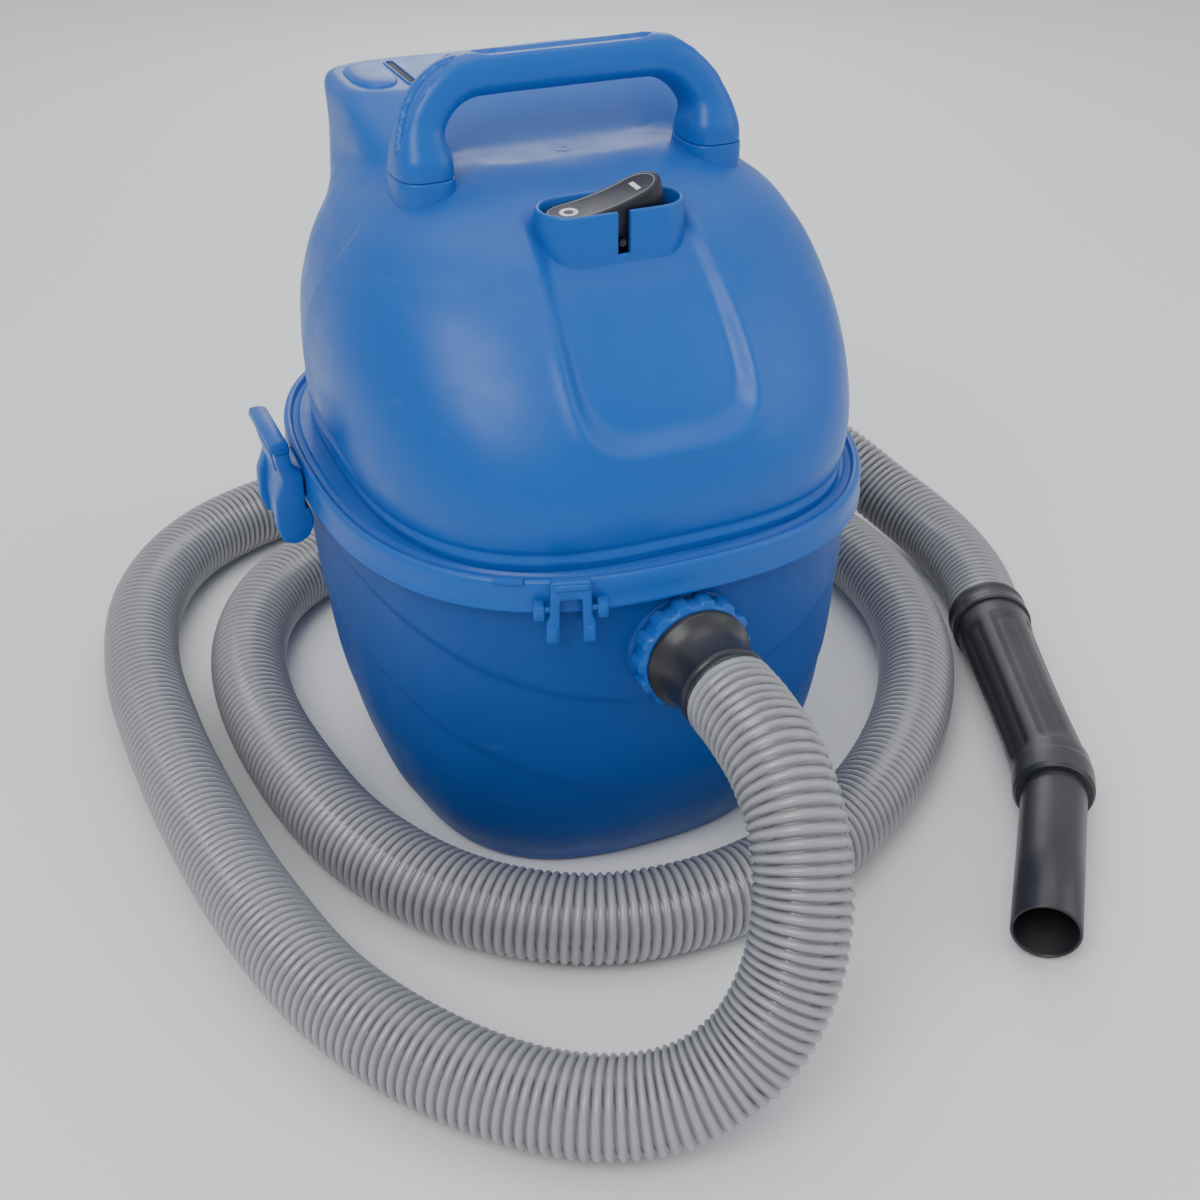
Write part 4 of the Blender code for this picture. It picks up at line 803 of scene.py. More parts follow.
@dataclass
class SuctionHose(Assembly):
    """Ribbed hose, with one helical rib from end to end.

    Attributes:
        diameter: Outside diameter over the ribs.
        pitch: Distance from rib to rib.
        depth: Depth of the grooves between them.
        sides: Points round it.
        samples: Rows to a rib.
    """

    diameter: float = 0.044
    pitch: float = 0.0047
    depth: float = 0.0019
    sides: int = 28
    samples: int = 5

    def surface(self) -> tuple[Surface, np.ndarray]:
        """The hose's skin and its centre line.

        The radius is half the diameter less the depth times the groove's share, and the groove turns
        once round for each pitch along.

        Returns:
            The skin, and a point of the centre line for each rib.
        """
        route = smooth_line(HOSE_ROUTE, 600)
        rows = int(line_length(route) / self.pitch * self.samples)
        line = smooth_line(HOSE_ROUTE, rows)
        length = line_length(line)
        along = np.linspace(0.0, length, rows)[:, None]
        angle = turn_angles(self.sides)[None, :]
        groove = (0.5 + 0.5 * np.cos(FULL_TURN * along / self.pitch + angle)) ** 1.8
        fade = ease(np.minimum(along, length - along) / FADE_LENGTH)
        soft = 0.00012 * np.sin(along * 61.0) + 0.0001 * np.sin(along * 23.0 + 2.0 * angle)
        radius = self.diameter / 2.0 - self.depth * groove * fade - 0.00025 + soft
        # Painted shade: the finish darkens the colour where this is high, deep in the grooves.
        shade = groove**1.4 * fade
        skin = Surface.grid(tube_rows(line, radius, angle[0], (1.0, 0.0, 0.0)), close_low=True,
                            close_high=True, shade=shade)
        return skin, line[:: self.samples]

    def build(self, with_pieces: Sequence[bpy.types.Object]) -> bpy.types.Object:
        """Args:
            with_pieces: The cuff and the wand's pieces; not used.

        Returns:
            The hose.
        """
        surface, line = self.surface()
        hose = self.show(surface, "suction_hose", HOSE_SILVER, Slot.SILVER, Body.BASE, ["hose"],
                         crease=80.0)
        return hose


@dataclass
class Wand(Assembly):
    """Collar, panelled grip and bent tube at the hose's end.

    Attributes:
        collar_radius: Radius of the collar that holds the hose.
        collar_length: Its length.
        panels: Lengthwise panels round the grip.
        panel_depth: How deep they are.
        tube_radius: Outside radius of the tube.
        bore: Its inside radius.
        sides: Points round each piece.
    """

    collar_radius: float = 0.0235
    collar_length: float = 0.017
    panels: int = 6
    panel_depth: float = 0.0017
    tube_radius: float = 0.0171
    bore: float = 0.0153
    sides: int = 72

    def __post_init__(self) -> None:
        """Work out the directions of the grip and of the tube."""
        self.way = (WAND_BEND - WAND_START) / np.linalg.norm(WAND_BEND - WAND_START)
        self.down = (WAND_TIP - WAND_BEND) / np.linalg.norm(WAND_TIP - WAND_BEND)

    def collar(self) -> Surface:
        """A rounded sleeve with a step at its front and a shallow waist."""
        steps = ((-0.0008, 0.0220), (-0.0004, 0.0231), (0.0006, 0.0235), (0.0030, 0.0235),
                 (0.0042, 0.0229), (0.0080, 0.0228), (0.0118, 0.0229), (0.0130, 0.0235), (0.0160, 0.0235),
                 (0.0169, 0.0231), (0.0172, 0.0212))
        line = np.array([WAND_START + self.way * run for run, _ in steps])
        radius = np.array([size for _, size in steps])[:, None] - 0.0235 + self.collar_radius
        rows = tube_rows(line, radius, turn_angles(self.sides), (0.0, 0.0, 1.0))
        return Surface.grid(rows, close_low=True, close_high=True)

    def grip(self) -> Surface:
        """The grip: long shallow panels between ridges, and a stepped lip at the bend.

        The radius is the tapering body's less the panel depth times the panel's share across and along.
        """
        corner = (WAND_START + self.way * (self.collar_length - 0.001), WAND_START + self.way * 0.060,
                  WAND_START + self.way * 0.110, WAND_BEND - self.way * 0.022, WAND_BEND - self.way * 0.006
                  + self.down * 0.002, WAND_BEND + self.down * 0.014)
        line = smooth_line(corner, 220)
        run = np.linspace(0.0, 1.0, 220)[:, None]
        angle = turn_angles(self.sides)
        body = smooth_table(((0.0, 0.0219), (0.10, 0.0214), (0.45, 0.0203), (0.80, 0.0207),
                             (0.93, 0.0211), (1.0, 0.0207)), run[:, 0])
        across = ease((np.cos(self.panels * angle) + 0.55) * 2.2)[None, :]
        ends = ease((run - 0.07) / 0.05) * ease((0.86 - run) / 0.05)
        radius = body - self.panel_depth * across * ends
        radius = radius + 0.0005 * (ease((run - 0.90) / 0.012) - ease((run - 0.985) / 0.012) * 2.5)
        radius[0] -= 0.0008
        rows = tube_rows(line, radius, angle, (0.0, 0.0, 1.0))
        return Surface.grid(rows, close_low=True, close_high=True)

    def tube(self) -> Surface:
        """The tube beyond the bend, with its open bore."""
        start = WAND_BEND - self.down * 0.004
        reach = float(np.linalg.norm(WAND_TIP - start))
        wall = self.tube_radius - self.bore
        outer = [(run, self.tube_radius) for run in (0.0, 0.3 * reach, 0.6 * reach, reach - 0.0008)]
        lip = [(reach - 0.0002, self.tube_radius - 0.0004), (reach, self.tube_radius - wall / 2),
               (reach - 0.0002, self.bore + 0.0004)]
        inner = [(reach - 0.0008, self.bore), (reach * 0.6, self.bore), (reach * 0.35, self.bore)]
        steps = outer + lip + inner
        line = np.array([start + self.down * run for run, _ in steps])
        side = np.cross(self.down, (0.0, 0.0, 1.0))
        side /= np.linalg.norm(side)
        up = np.cross(side, self.down)
        angle = turn_angles(self.sides)
        circle = np.cos(angle)[:, None] * side + np.sin(angle)[:, None] * up
        rows = np.array([place + circle * size for place, (_, size) in zip(line, steps)])
        return Surface.grid(rows, close_low=True, close_high=True)

    def build(self) -> list[bpy.types.Object]:
        """Show the wand's three pieces."""
        self.show(self.collar(), "wand_collar_moulding", BLACK_SATIN, Slot.BLACK, Body.BASE,
                  ["wand_collar"])
        self.show(self.grip(), "wand_grip_moulding", BLACK_SATIN, Slot.BLACK, Body.BASE,
                  ["wand_grip"], 60.0)
        self.show(self.tube(), "wand_tube_moulding", BLACK_SATIN, Slot.BLACK, Body.BASE, ["wand_tube"])
        return self.made


@dataclass
class Inlet(Assembly):
    """The ribbed locking collar and the trumpet-shaped hose cuff at the tank's front.

    Attributes:
        ribs: Finger ribs round the collar.
        sides: Points round the collar.
    """

    ribs: int = 14
    sides: int = 168

    def cuff(self) -> Surface:
        """A wide flange that narrows to a neck, with a raised ring at the hose."""
        profile = ((0.0160, 0.1620), (0.0250, 0.1620), (0.0257, 0.1628), (0.0257, 0.1652),
                   (0.0250, 0.1662), (0.0232, 0.1680), (0.0214, 0.1708), (0.0201, 0.1748),
                   (0.0194, 0.1800), (0.0191, 0.1855), (0.0193, 0.1876), (0.0212, 0.1882),
                   (0.0217, 0.1890), (0.0217, 0.1912), (0.0212, 0.1920), (0.0205, 0.1926),
                   (0.0212, 0.1932), (0.0217, 0.1940), (0.0217, 0.1958), (0.0210, 0.1967),
                   (0.0160, 0.1967))
        return turned(profile, 96)

    def collar(self) -> Surface:
        """The collar: a ring with rounded finger ribs and a chamfered face."""
        profile = ((0.0178, 0.1512), (0.0262, 0.1512), (0.0268, 0.1518), (0.0268, 0.1560),
                   (0.0268, 0.1600), (0.0262, 0.1614), (0.0245, 0.1622), (0.0225, 0.1622),
                   (0.0215, 0.1612), (0.0178, 0.1612))
        return turned(profile, self.sides, close=True, ribs=self.ribs, rib_height=0.0021,
                      rib_rows=(2, 3, 4))

    def flange(self) -> Surface:
        """The moulded seat on the tank behind the collar."""
        profile = ((0.0170, 0.1330), (0.0330, 0.1330), (0.0318, 0.1420), (0.0300, 0.1475),
                   (0.0282, 0.1498), (0.0268, 0.1506), (0.0178, 0.1506))
        return turned(profile, 96, close=True)

    def build(self) -> list[bpy.types.Object]:
        """Show the seat, the collar and the cuff, and give back the cuff."""
        forward = Matrix.Translation((0.0, 0.0, INLET_Z)) @ AXES["y"]
        self.show(self.flange().placed(forward), "inlet_seat", BLUE_TANK, Slot.BLUE, Body.BASE)
        self.show(self.collar().placed(forward), "ribbed_collar", BLUE_SHELL, Slot.BLUE, Body.COLLAR,
                  ["locking_collar"], 50.0)
        cuff = self.show(self.cuff().placed(forward), "cuff_moulding", BLACK_SATIN, Slot.BLACK, Body.BASE,
                         ["hose_cuff"], 50.0)
        return [cuff]


# ---------------------------------------------------------------- tank
@dataclass
class Tank(Assembly):
    """The tapered tank, with sweeping steps and soft facets on its front.

    Attributes:
        height: Height of its mouth.
        base: Half width and half depth at the base.
        mouth: Half width and half depth at the mouth.
        wall: Wall thickness.
        reach: How far the lip stands out.
        shift: How far forward the base stands from the mouth.
        around: Points round each section.
    """

    TAPER = ((0.0, -0.17), (0.033, 0.0), (0.27, 0.55), (0.55, 0.83), (1.0, 1.0))

    height: float = 0.1835
    base: tuple[float, float] = (0.104, 0.115)
    mouth: tuple[float, float] = (0.133, 0.150)
    wall: float = 0.003
    reach: float = 0.0028
    shift: float = -0.008
    around: int = 384

    def ring(self, z: float, out: float = 0.0, swell: bool = False) -> np.ndarray:
        """Points of the section at a height.

        Args:
            z: The height.
            out: How far the section is moved out.
            swell: Whether it carries the outside's steps and facets.

        Returns:
            The points, in order round the tank.
        """
        share = z / self.height
        taper = float(smooth_table(self.TAPER, np.array(share))[0])
        angle = turn_angles(self.around)
        half_x = self.base[0] + (self.mouth[0] - self.base[0]) * taper
        half_y = self.base[1] + (self.mouth[1] - self.base[1]) * taper
        radius = super_radius(angle, half_x, half_y, 2.75 - 0.15 * share) + out
        if swell:
            radius = radius + self.relief(angle, z)
        return np.column_stack((radius * np.cos(angle), radius * np.sin(angle) + self.shift * (1.0 - share),
                                np.full(self.around, z)))

    def relief(self, angle: np.ndarray, z: float) -> np.ndarray:
        """Steps and facets of the outside.

        Two arcs droop to the middle of the front and the back, and the wall below each is set in. Two
        flat facets run down beside the middle. All of it fades out at the base.

        Args:
            angle: Angles round the tank.
            z: The height.

        Returns:
            How far the wall stands out at each angle.
        """
        away = np.abs(np.mod(angle + math.pi, math.pi) - math.pi / 2)
        droop = (1.0 - ease(np.abs(away) / 1.25))
        upper = 0.158 - 0.042 * droop
        lower = 0.108 - 0.050 * droop
        low_end = ease(z / 0.012)
        step = -0.0016 * ease((upper - z) / 0.0045 + 0.5) - 0.0010 * ease((lower - z) / 0.006 + 0.5)
        fade = ease((away - 0.10) / 0.25) * ease((1.35 - away) / 0.25)
        facet = -0.0014 * np.exp(-(((away - 0.62) / 0.13) ** 2)) * ease((0.115 - z) / 0.05) * ease(z / 0.03)
        return low_end * (step * (0.35 + 0.65 * fade) + facet)

    def surface(self) -> Surface:
        """Outside, lip, inside and floor as one skin with a wall's thickness between."""
        foot = np.array((0.0, 0.0006, 0.0016, 0.003, 0.0045))
        low = np.concatenate((foot, np.linspace(0.0065, self.height - 0.0045, 88)))
        round_foot = np.concatenate(((-0.0035, -0.0016, -0.0006, -0.0001), np.zeros(len(low) - 4)))
        outer = [self.ring(z, out, True) for z, out in zip(low, round_foot)]
        top = self.height
        lip = [(top - 0.0040, 0.0), (top - 0.0040, self.reach - 0.0006), (top - 0.0034, self.reach),
               (top - 0.0006, self.reach), (top, self.reach - 0.0006), (top, -self.wall + 0.0006),
               (top - 0.0006, -self.wall)]
        inner = [self.ring(z, -self.wall - 0.0028 * ease(np.array((top - z) / 0.03)).item())
                 for z in (0.150, 0.115, 0.080, 0.045, 0.020, 0.010)]
        floor = [self.ring(0.0055, -0.0100), self.ring(0.0050, -0.0160)]
        rows = np.array(outer + [self.ring(z, out) for z, out in lip] + inner + floor)
        return Surface.grid(rows, close_low=True, close_high=True)

    def build(self) -> None:
        """Show the tank."""
        self.show(self.surface(), "tank_moulding", BLUE_TANK, Slot.BLUE, Body.BASE, ["tank"], 40.0)


# ---------------------------------------------------------------- ring, catches
RING_X = 0.139
RING_Y = 0.156
RING_LOW = 0.177
RING_TOP = 0.1925
PLATE_LOW = 0.1865
MOTOR_Y = 0.014
RIM_POWER = 2.6
LATCH_Y = 0.020
CLIP_X = -0.058


def on_rim(x: float) -> Matrix:
    """Place on the ring's front edge for a part drawn with +X along it and -Y outwards.

    The edge is a superellipse, and the outward direction is the slope of its equation.

    Args:
        x: How far to the right the place is.

    Returns:
        The matrix that carries the part there.
    """
    y = -RING_Y * (1.0 - abs(x / RING_X) ** RIM_POWER) ** (1.0 / RIM_POWER)
    across = math.copysign(abs(x / RING_X) ** 1.6 / RING_X, x)
    out = Vector((across, -abs(y / RING_Y) ** 1.6 / RING_Y, 0.0)).normalized()
    side = Vector((-out.y, out.x, 0.0))
    return Matrix(((side.x, -out.x, 0.0, x), (side.y, -out.y, 0.0, y), (0.0, 0.0, 1.0, 0.0),
                   (0.0, 0.0, 0.0, 1.0)))


@dataclass
class LidRing(Assembly):
    """The head's base plate with its grooved shoulder, rounded edge, skirt and hinge lugs.

    Attributes:
        around: Points round it.
        clip_x: Place of the front clip's ears along X.
        tab_x: Place of the small raised tab along X.
        intake: Radius of the fan's intake.
    """

    around: int = 420
    clip_x: float = CLIP_X
    tab_x: float = -0.083
    intake: float = 0.0165

    def outline(self, inside: float, z: float) -> np.ndarray:
        """The ring's edge, moved in, at a height."""
        angle = turn_angles(self.around)
        radius = super_radius(angle, RING_X - inside, RING_Y - inside, RIM_POWER)
        return np.column_stack((radius * np.cos(angle), radius * np.sin(angle), np.full(self.around, z)))

    def hole(self, z: float) -> np.ndarray:
        """The intake's edge at a height."""
        angle = turn_angles(self.around)
        return np.column_stack((self.intake * np.cos(angle), MOTOR_Y + self.intake * np.sin(angle),
                                np.full(self.around, z)))

    def surface(self) -> Surface:
        """Plate, shoulder groove, bead, edge and skirt."""
        steps = ((0.030, RING_TOP), (0.0105, RING_TOP), (0.0084, RING_TOP), (0.0078, 0.1915),
                 (0.0070, 0.1908), (0.0050, 0.1908), (0.0044, 0.1914), (0.0040, 0.1926), (0.0034, 0.1932),
                 (0.0022, 0.1933), (0.0011, 0.1929), (0.0004, 0.1920), (0.0, 0.1905), (0.0, 0.1850),
                 (0.0, 0.1802), (-0.0003, 0.1794), (-0.0005, 0.1786), (-0.0005, 0.1777),
                 (-0.0001, 0.1771), (0.0008, RING_LOW), (0.0025, RING_LOW), (0.0025, PLATE_LOW),
                 (0.030, PLATE_LOW))
        edge = [self.outline(inside, z) for inside, z in steps]
        return Surface.grid(np.array([self.hole(RING_TOP), *edge, self.hole(PLATE_LOW)]), loop=True)

    def lugs(self) -> list[Surface]:
        """The hinge blocks of the side catches, and the ears of the front clip."""
        right = block((RING_X - 0.0022, LATCH_Y - 0.0130, 0.1781),
                      (RING_X + 0.0078, LATCH_Y + 0.0130, 0.1910), 0.0014)
        ears = [block((start, -0.0068, 0.1772), (start + 0.0052, 0.0014, 0.1843), 0.0009)
                .placed(on_rim(self.clip_x)) for start in (0.0117, -0.0169)]
        tab = block((-0.0070, -0.0012, 0.1915), (0.0070, 0.0030, 0.1943), 0.0007).placed(on_rim(self.tab_x))
        return [right, right.mirrored(), tab, *ears]

    def build(self) -> None:
        """Show the ring."""
        whole = Surface.merged([self.surface(), *self.lugs()])
        self.show(whole, "lid_ring_moulding", BLUE_SHELL, Slot.BLUE, Body.HEAD, ["lid_ring"], 42.0)


@dataclass
class SideCatch(Assembly):
    """One side catch: two cheeks on a lug, a thin web, a hook at the foot and a finger tab on top.

    Attributes:
        half_width: Half its width along Y.
        cheek: Width of each cheek.
    """

    half_width: float = 0.022
    cheek: float = 0.0080

    def surface(self) -> Surface:
        """The right-hand catch, drawn across Y."""
        cheek = rounded_outline(((0.1364, 0.1642), (0.1378, 0.1714), (0.1400, 0.1722), (0.1402, 0.1915),
                                 (0.1448, 0.1962), (0.1470, 0.2108), (0.1538, 0.2112), (0.1530, 0.1995),
                                 (0.1506, 0.1890), (0.1550, 0.1785), (0.1555, 0.1640), (0.1530, 0.1552),
                                 (0.1455, 0.1530), (0.1395, 0.1562)),
                                0.0018, 5)
        web = rounded_outline(((0.1484, 0.1560), (0.1516, 0.1570), (0.1524, 0.1720), (0.1506, 0.1890),
                               (0.1514, 0.2050), (0.1486, 0.2050), (0.1484, 0.1880),
                               (0.1484, 0.1700)), 0.0010, 4)
        hook = rounded_outline(((0.1364, 0.1642), (0.1378, 0.1714), (0.1425, 0.1714), (0.1482, 0.1660),
                                (0.1516, 0.1600), (0.1506, 0.1545), (0.1455, 0.1532),
                                (0.1397, 0.1560)), 0.0014, 5)
        tab = rounded_outline(((0.1456, 0.2048), (0.1462, 0.2106), (0.1500, 0.2121), (0.1552, 0.2117),
                               (0.1560, 0.2078), (0.1530, 0.2040)), 0.0016, 6)
        rail = rounded_outline(((0.1498, 0.1905), (0.1520, 0.1912), (0.1536, 0.2010), (0.1508, 0.2010)),
                               0.0007, 4)
        near, far = LATCH_Y - self.half_width, LATCH_Y + self.half_width
        parts = [prism(cheek, -near - self.cheek, -near, 0.0012),
                 prism(cheek, -far, -far + self.cheek, 0.0012),
                 prism(web, -far + 0.004, -near - 0.004, 0.0006),
                 prism(hook, -far + 0.003, -near - 0.003, 0.0010),
                 prism(tab, -far - 0.0008, -near + 0.0008, 0.0014),
                 prism(rail, -far + 0.010, -near - 0.010, 0.0006)]
        return Surface.merged([part.placed(AXES["y"]) for part in parts])

    def build(self) -> None:
        """Show both catches."""
        right = self.surface()
        self.show(right, "side_catch_right", BLUE_SHELL, Slot.BLUE, Body.LATCH_RIGHT, ["latch_lever_right"],
                  34.0)
        self.show(right.mirrored(), "side_catch_left", BLUE_SHELL, Slot.BLUE, Body.LATCH_LEFT,
                  ["latch_lever_left"], 34.0)


@dataclass
class FrontClip(Assembly):
    """The small arch-shaped clip over the ring's front edge."""

    x: float = CLIP_X

    def surface(self) -> Surface:
        """An arch with flared feet, a rounded top and a raised rib along its bar."""
        arch = rounded_outline(((0.0112, 0.1645), (0.0112, 0.1742), (0.0096, 0.1790), (0.0090, 0.1966),
                                (-0.0090, 0.1966), (-0.0096, 0.1790), (-0.0112, 0.1742),
                                (-0.0112, 0.1645), (-0.0054, 0.1645), (-0.0048, 0.1872), (0.0048, 0.1872),
                                (0.0054, 0.1645)), 0.0014, 5)
        rib = rounded_outline(((0.0078, 0.1952), (-0.0078, 0.1952), (-0.0078, 0.1922), (0.0078, 0.1922)),
                              0.0012, 5)
        pads = [rounded_outline(((side * 0.0064, 0.1658), (side * 0.0108, 0.1658),
                                 (side * 0.0106, 0.1736),
                                 (side * 0.0064, 0.1736)), 0.0010, 4) for side in (-1, 1)]
        parts = [prism(arch, 0.0013, 0.0067, 0.0009), prism(rib, 0.0060, 0.0076, 0.0007)]
        parts += [prism(pad, 0.0060, 0.0074, 0.0006) for pad in pads]
        pins = [turned(((0.0014, low), (0.0014, low + 0.0045)), 20).placed(
            Matrix.Translation((0.0, -0.0040, 0.1815)) @ AXES["x"]) for low in (0.0095, -0.0140)]
        return Surface.merged([part.placed(AXES["y"]) for part in parts] + pins).placed(on_rim(self.x))

    def build(self) -> None:
        """Show the clip."""
        self.show(self.surface(), "arch_clip", BLUE_SHELL, Slot.BLUE, Body.CLIP, ["front_clip"], 34.0)


# ---------------------------------------------------------------- motor head
GRILLE_Z = 0.2535
HUMP_TOP = 0.3578
PAD_Y = 0.0940
SWITCH_Y = -0.060


@dataclass
class HeadShell(Assembly):
    """The domed head with its vent hump, recessed front shield, set-in flanks and grille pocket.

    The skin is found along rays from the middle of its base, where a smooth field of distance is zero.

    Attributes:
        around: Rays round the head.
        upward: Rays from its edge to its top.
        low: Height of its edge.
        top: Height of the dome's top.
        half_x: Half width of the dome.
        front: How far it reaches to the front.
        back: How far it reaches to the back.
        hump_half: Half width of the vent hump.
        hump_back: How far the hump reaches to the back.
        flank_depth: How far the flanks are set in.
        shield_depth: How far the shield is set in.
        shield_foot: Height of its lower crease.
        pocket_half: Half width and half height of the grille's pocket.
        pocket_depth: How deep the pocket is.
        collar_half: Half length and half width of the wall round the switch.
        collar_top: Height of that wall's top.
        collar_wall: Its thickness.
        slot_half: Half width of the slot in its front.
        slot_floor: Height of the slot's lower end.
        well_floor: Height of the floor under the switch.

    PROFILE gives, for each share of the height, the shares of half_x, front and back. SHIELD gives the
    shield's half width at each height, and FLANK gives the place of the flank's ridge along Y.
    """

    around: int = 420
    upward: int = 200
    low: float = 0.1928
    top: float = 0.3398
    half_x: float = 0.129
    front: float = 0.146
    back: float = 0.137
    hump_half: float = 0.087
    hump_back: float = 0.1305
    flank_depth: float = 0.0036
    shield_depth: float = 0.0074
    shield_foot: float = 0.2415
    pocket_half: tuple[float, float] = (0.0415, 0.0225)
    pocket_depth: float = 0.0048
    collar_half: tuple[float, float] = (0.036, 0.0165)
    collar_top: float = 0.3323
    collar_wall: float = 0.0025
    slot_half: float = 0.0031
    slot_floor: float = 0.3122
    well_floor: float = 0.3060

    PROFILE = ((0.0, 0.938, 0.979, 0.971), (0.15, 0.985, 1.0, 1.0), (0.35, 1.0, 0.952, 1.0),
               (0.56, 0.977, 0.808, 0.985), (0.75, 0.892, 0.616, 0.950), (0.87, 0.775, 0.452, 0.900),
               (0.94, 0.636, 0.300, 0.820), (1.0, 0.430, 0.150, 0.700))
    SHIELD = ((0.236, 0.0330), (0.246, 0.0415), (0.262, 0.0452), (0.285, 0.0455), (0.305, 0.0440),
              (0.325, 0.0420), (0.345, 0.0420))
    FLANK = ((0.190, -0.044), (0.213, -0.030), (0.222, 0.010), (0.240, 0.024), (0.262, 0.018),
             (0.284, 0.008), (0.300, -0.004), (0.315, -0.010), (0.330, -0.004), (0.345, 0.004))
    HUMP_FRONT = ((-0.060, -1.05), (-0.040, -1.0), (-0.022, -0.92), (-0.008, -0.42), (0.0, 0.0),
                  (0.010, 0.4))

    def dome(self, x: np.ndarray, y: np.ndarray, z: np.ndarray) -> np.ndarray:
        """Distance from the dome alone, below zero inside."""
        share = np.clip((z - self.low) / (self.top - self.low), 0.0, 1.0)
        wide, front, back = np.moveaxis(smooth_table(self.PROFILE, share), -1, 0)
        power = 3.0 - 0.6 * share
        depth = np.where(y < 0.0, self.front * front, self.back * back)
        across, along = np.abs(x) / (self.half_x * wide), np.abs(y) / depth
        ratio = (across**power + along**power) ** (1.0 / power) + 1e-9
        return soft_max(np.hypot(x, y) * (1.0 - 1.0 / ratio), z - self.top, 0.012)

    def hump(self, x: np.ndarray, y: np.ndarray, z: np.ndarray) -> np.ndarray:
        """Distance from the vent hump alone."""
        rise = z - HUMP_TOP
        front = 0.060 + 0.048 * smooth_table(self.HUMP_FRONT, rise)[..., 0]
        wide = self.hump_half * (1.0 + 0.5 * np.clip(-rise - 0.004, 0.0, 0.04))
        middle, half = (front + self.hump_back) / 2.0, (self.hump_back - front) / 2.0
        ratio = ((np.abs(x) / wide) ** 4.5 + (np.abs(y - middle) / half) ** 4.5) ** (1.0 / 4.5) + 1e-9
        reach = np.hypot(x, y - middle)
        return soft_max(reach * (1.0 - 1.0 / ratio), rise, 0.008)

    def distance(self, place: np.ndarray) -> np.ndarray:
        """Distance from the whole skin, below zero inside.

        The flanks are set in behind a ridge, the shield is set in between its creases, and the grille's
        pocket is cut into the back. A small foot stands out at the base.
        """
        x, y, z = np.moveaxis(place, -1, 0)
        dome = self.dome(x, y, z)
        ridge = smooth_table(self.FLANK, z)[..., 0]
        flank = ease((y - ridge) / 0.0045) * ease((0.322 - z) / 0.02)
        dome = dome + self.flank_depth * flank * ease((z - 0.2035) / 0.003)
        groove = np.exp(-(((z - 0.2005) / 0.0012) ** 2))
        dome = dome - 0.0014 * ease((0.1985 - z) / 0.0018) + 0.0010 * groove
        skin = soft_min(dome, self.hump(x, y, z), 0.014)
        half = smooth_table(self.SHIELD, z)[..., 0]
        side = np.abs(x) - half
        inside = -soft_max(side, self.shield_foot - z, 0.020)
        shield = ease(inside / 0.0095) * ease((-0.045 - y) / 0.012)
        lip = np.exp(-((inside / 0.0035) ** 2)) * ease((-0.060 - y) / 0.012) * ease((0.300 - z) / 0.03)
        skin = skin + self.shield_depth * shield - 0.0013 * lip
        pocket = np.maximum(np.abs(x) - self.pocket_half[0], np.abs(z - GRILLE_Z) - self.pocket_half[1])
        skin = skin + self.pocket_depth * ease(-pocket / 0.0015) * (y > 0.05)
        return skin - 0.0006 * np.exp(-(((np.hypot(x, y + 0.002) - 0.0035) / 0.0012) ** 2)) * (z > 0.33)

    def skin(self) -> np.ndarray:
        """Rows of points of the outside, from the edge to the top."""
        rise = np.linspace(0.0, math.radians(89.5), self.upward)[:, None]
        turn = turn_angles(self.around)[None, :]
        ray = np.stack((np.cos(rise) * np.cos(turn), np.cos(rise) * np.sin(turn),
                        np.sin(rise) * np.ones_like(turn)), -1)
        origin = np.array((0.0, 0.0, self.low))
        near = np.full(ray.shape[:2], 0.06)
        far = np.full(ray.shape[:2], 0.27)
        for _ in range(24):
            middle = (near + far) / 2.0
            inside = self.distance(origin + ray * middle[..., None]) < 0.0
            near, far = np.where(inside, middle, near), np.where(inside, far, middle)
        return origin + ray * near[..., None]

    def surface(self) -> Surface:
        """Outside and inside skins, without the opening under the switch."""
        outer = self.skin()
        origin = np.array((0.0, 0.0, self.low))
        inner = outer[::12]
        reach = np.linalg.norm(inner - origin, axis=-1, keepdims=True)
        rise = np.linspace(0.0, 1.0, len(inner))[:, None, None]
        inner = origin + (inner - origin) * (1.0 - (0.0024 + 0.006 * rise) / reach)
        rows = np.concatenate((inner[::-1], outer))
        made = Surface.grid(rows, close_low=True, close_high=True)
        length, width = self.collar_half[0] - 0.0018, self.collar_half[1] - 0.0018
        straight = length - width
        gap = np.hypot(np.maximum(np.abs(made.points[:, 0]) - straight, 0.0), made.points[:, 1] - SWITCH_Y)
        return made.keep((gap > width) | (made.points[:, 2] < 0.25))

    def switch_wall(self) -> Surface:
        """The raised wall round the switch, with rounded top and a slot in its front."""
        wall, half_slot = self.collar_wall, self.slot_half
        outer = stadium(*self.collar_half)
        dense = smooth_line(np.vstack((outer, outer[:1])), 420)[:-1]
        width = self.collar_half[1]
        sill = half_slot + 0.00004
        edges = np.array([(x, -width) for x in (-sill, -half_slot, half_slot, sill)])
        front = (dense[:, 1] < 0.0) & (np.abs(dense[:, 0]) < half_slot + 0.0003)
        rest = np.roll(dense, -int(np.flatnonzero(front)[-1]) - 1, axis=0)[: len(dense) - int(front.sum())]
        path = np.vstack((edges, rest))
        in_slot = (np.abs(path[:, 0]) <= half_slot + 0.00001) & (path[:, 1] < 0.0)
        high = np.where(in_slot, self.slot_floor, self.collar_top)
        straight = self.collar_half[0] - width
        inward = np.column_stack((np.clip(path[:, 0], -straight, straight) - path[:, 0], -path[:, 1]))
        inward /= np.linalg.norm(inward, axis=1)[:, None]
        inner = path + inward * wall
        section = ((0.0, None), (0.0, 0.0011), (0.12, 0.0004), (0.40, 0.0), (0.60, 0.0), (0.88, 0.0004),
                   (1.0, 0.0011), (1.0, None))
        rows = []
        for share, drop in section:
            height = np.full(len(path), self.well_floor - 0.0030) if drop is None else high - drop
            rows.append(np.column_stack((path + (inner - path) * share, height)))
        parts = [Surface.grid(np.array(rows), loop=True)]
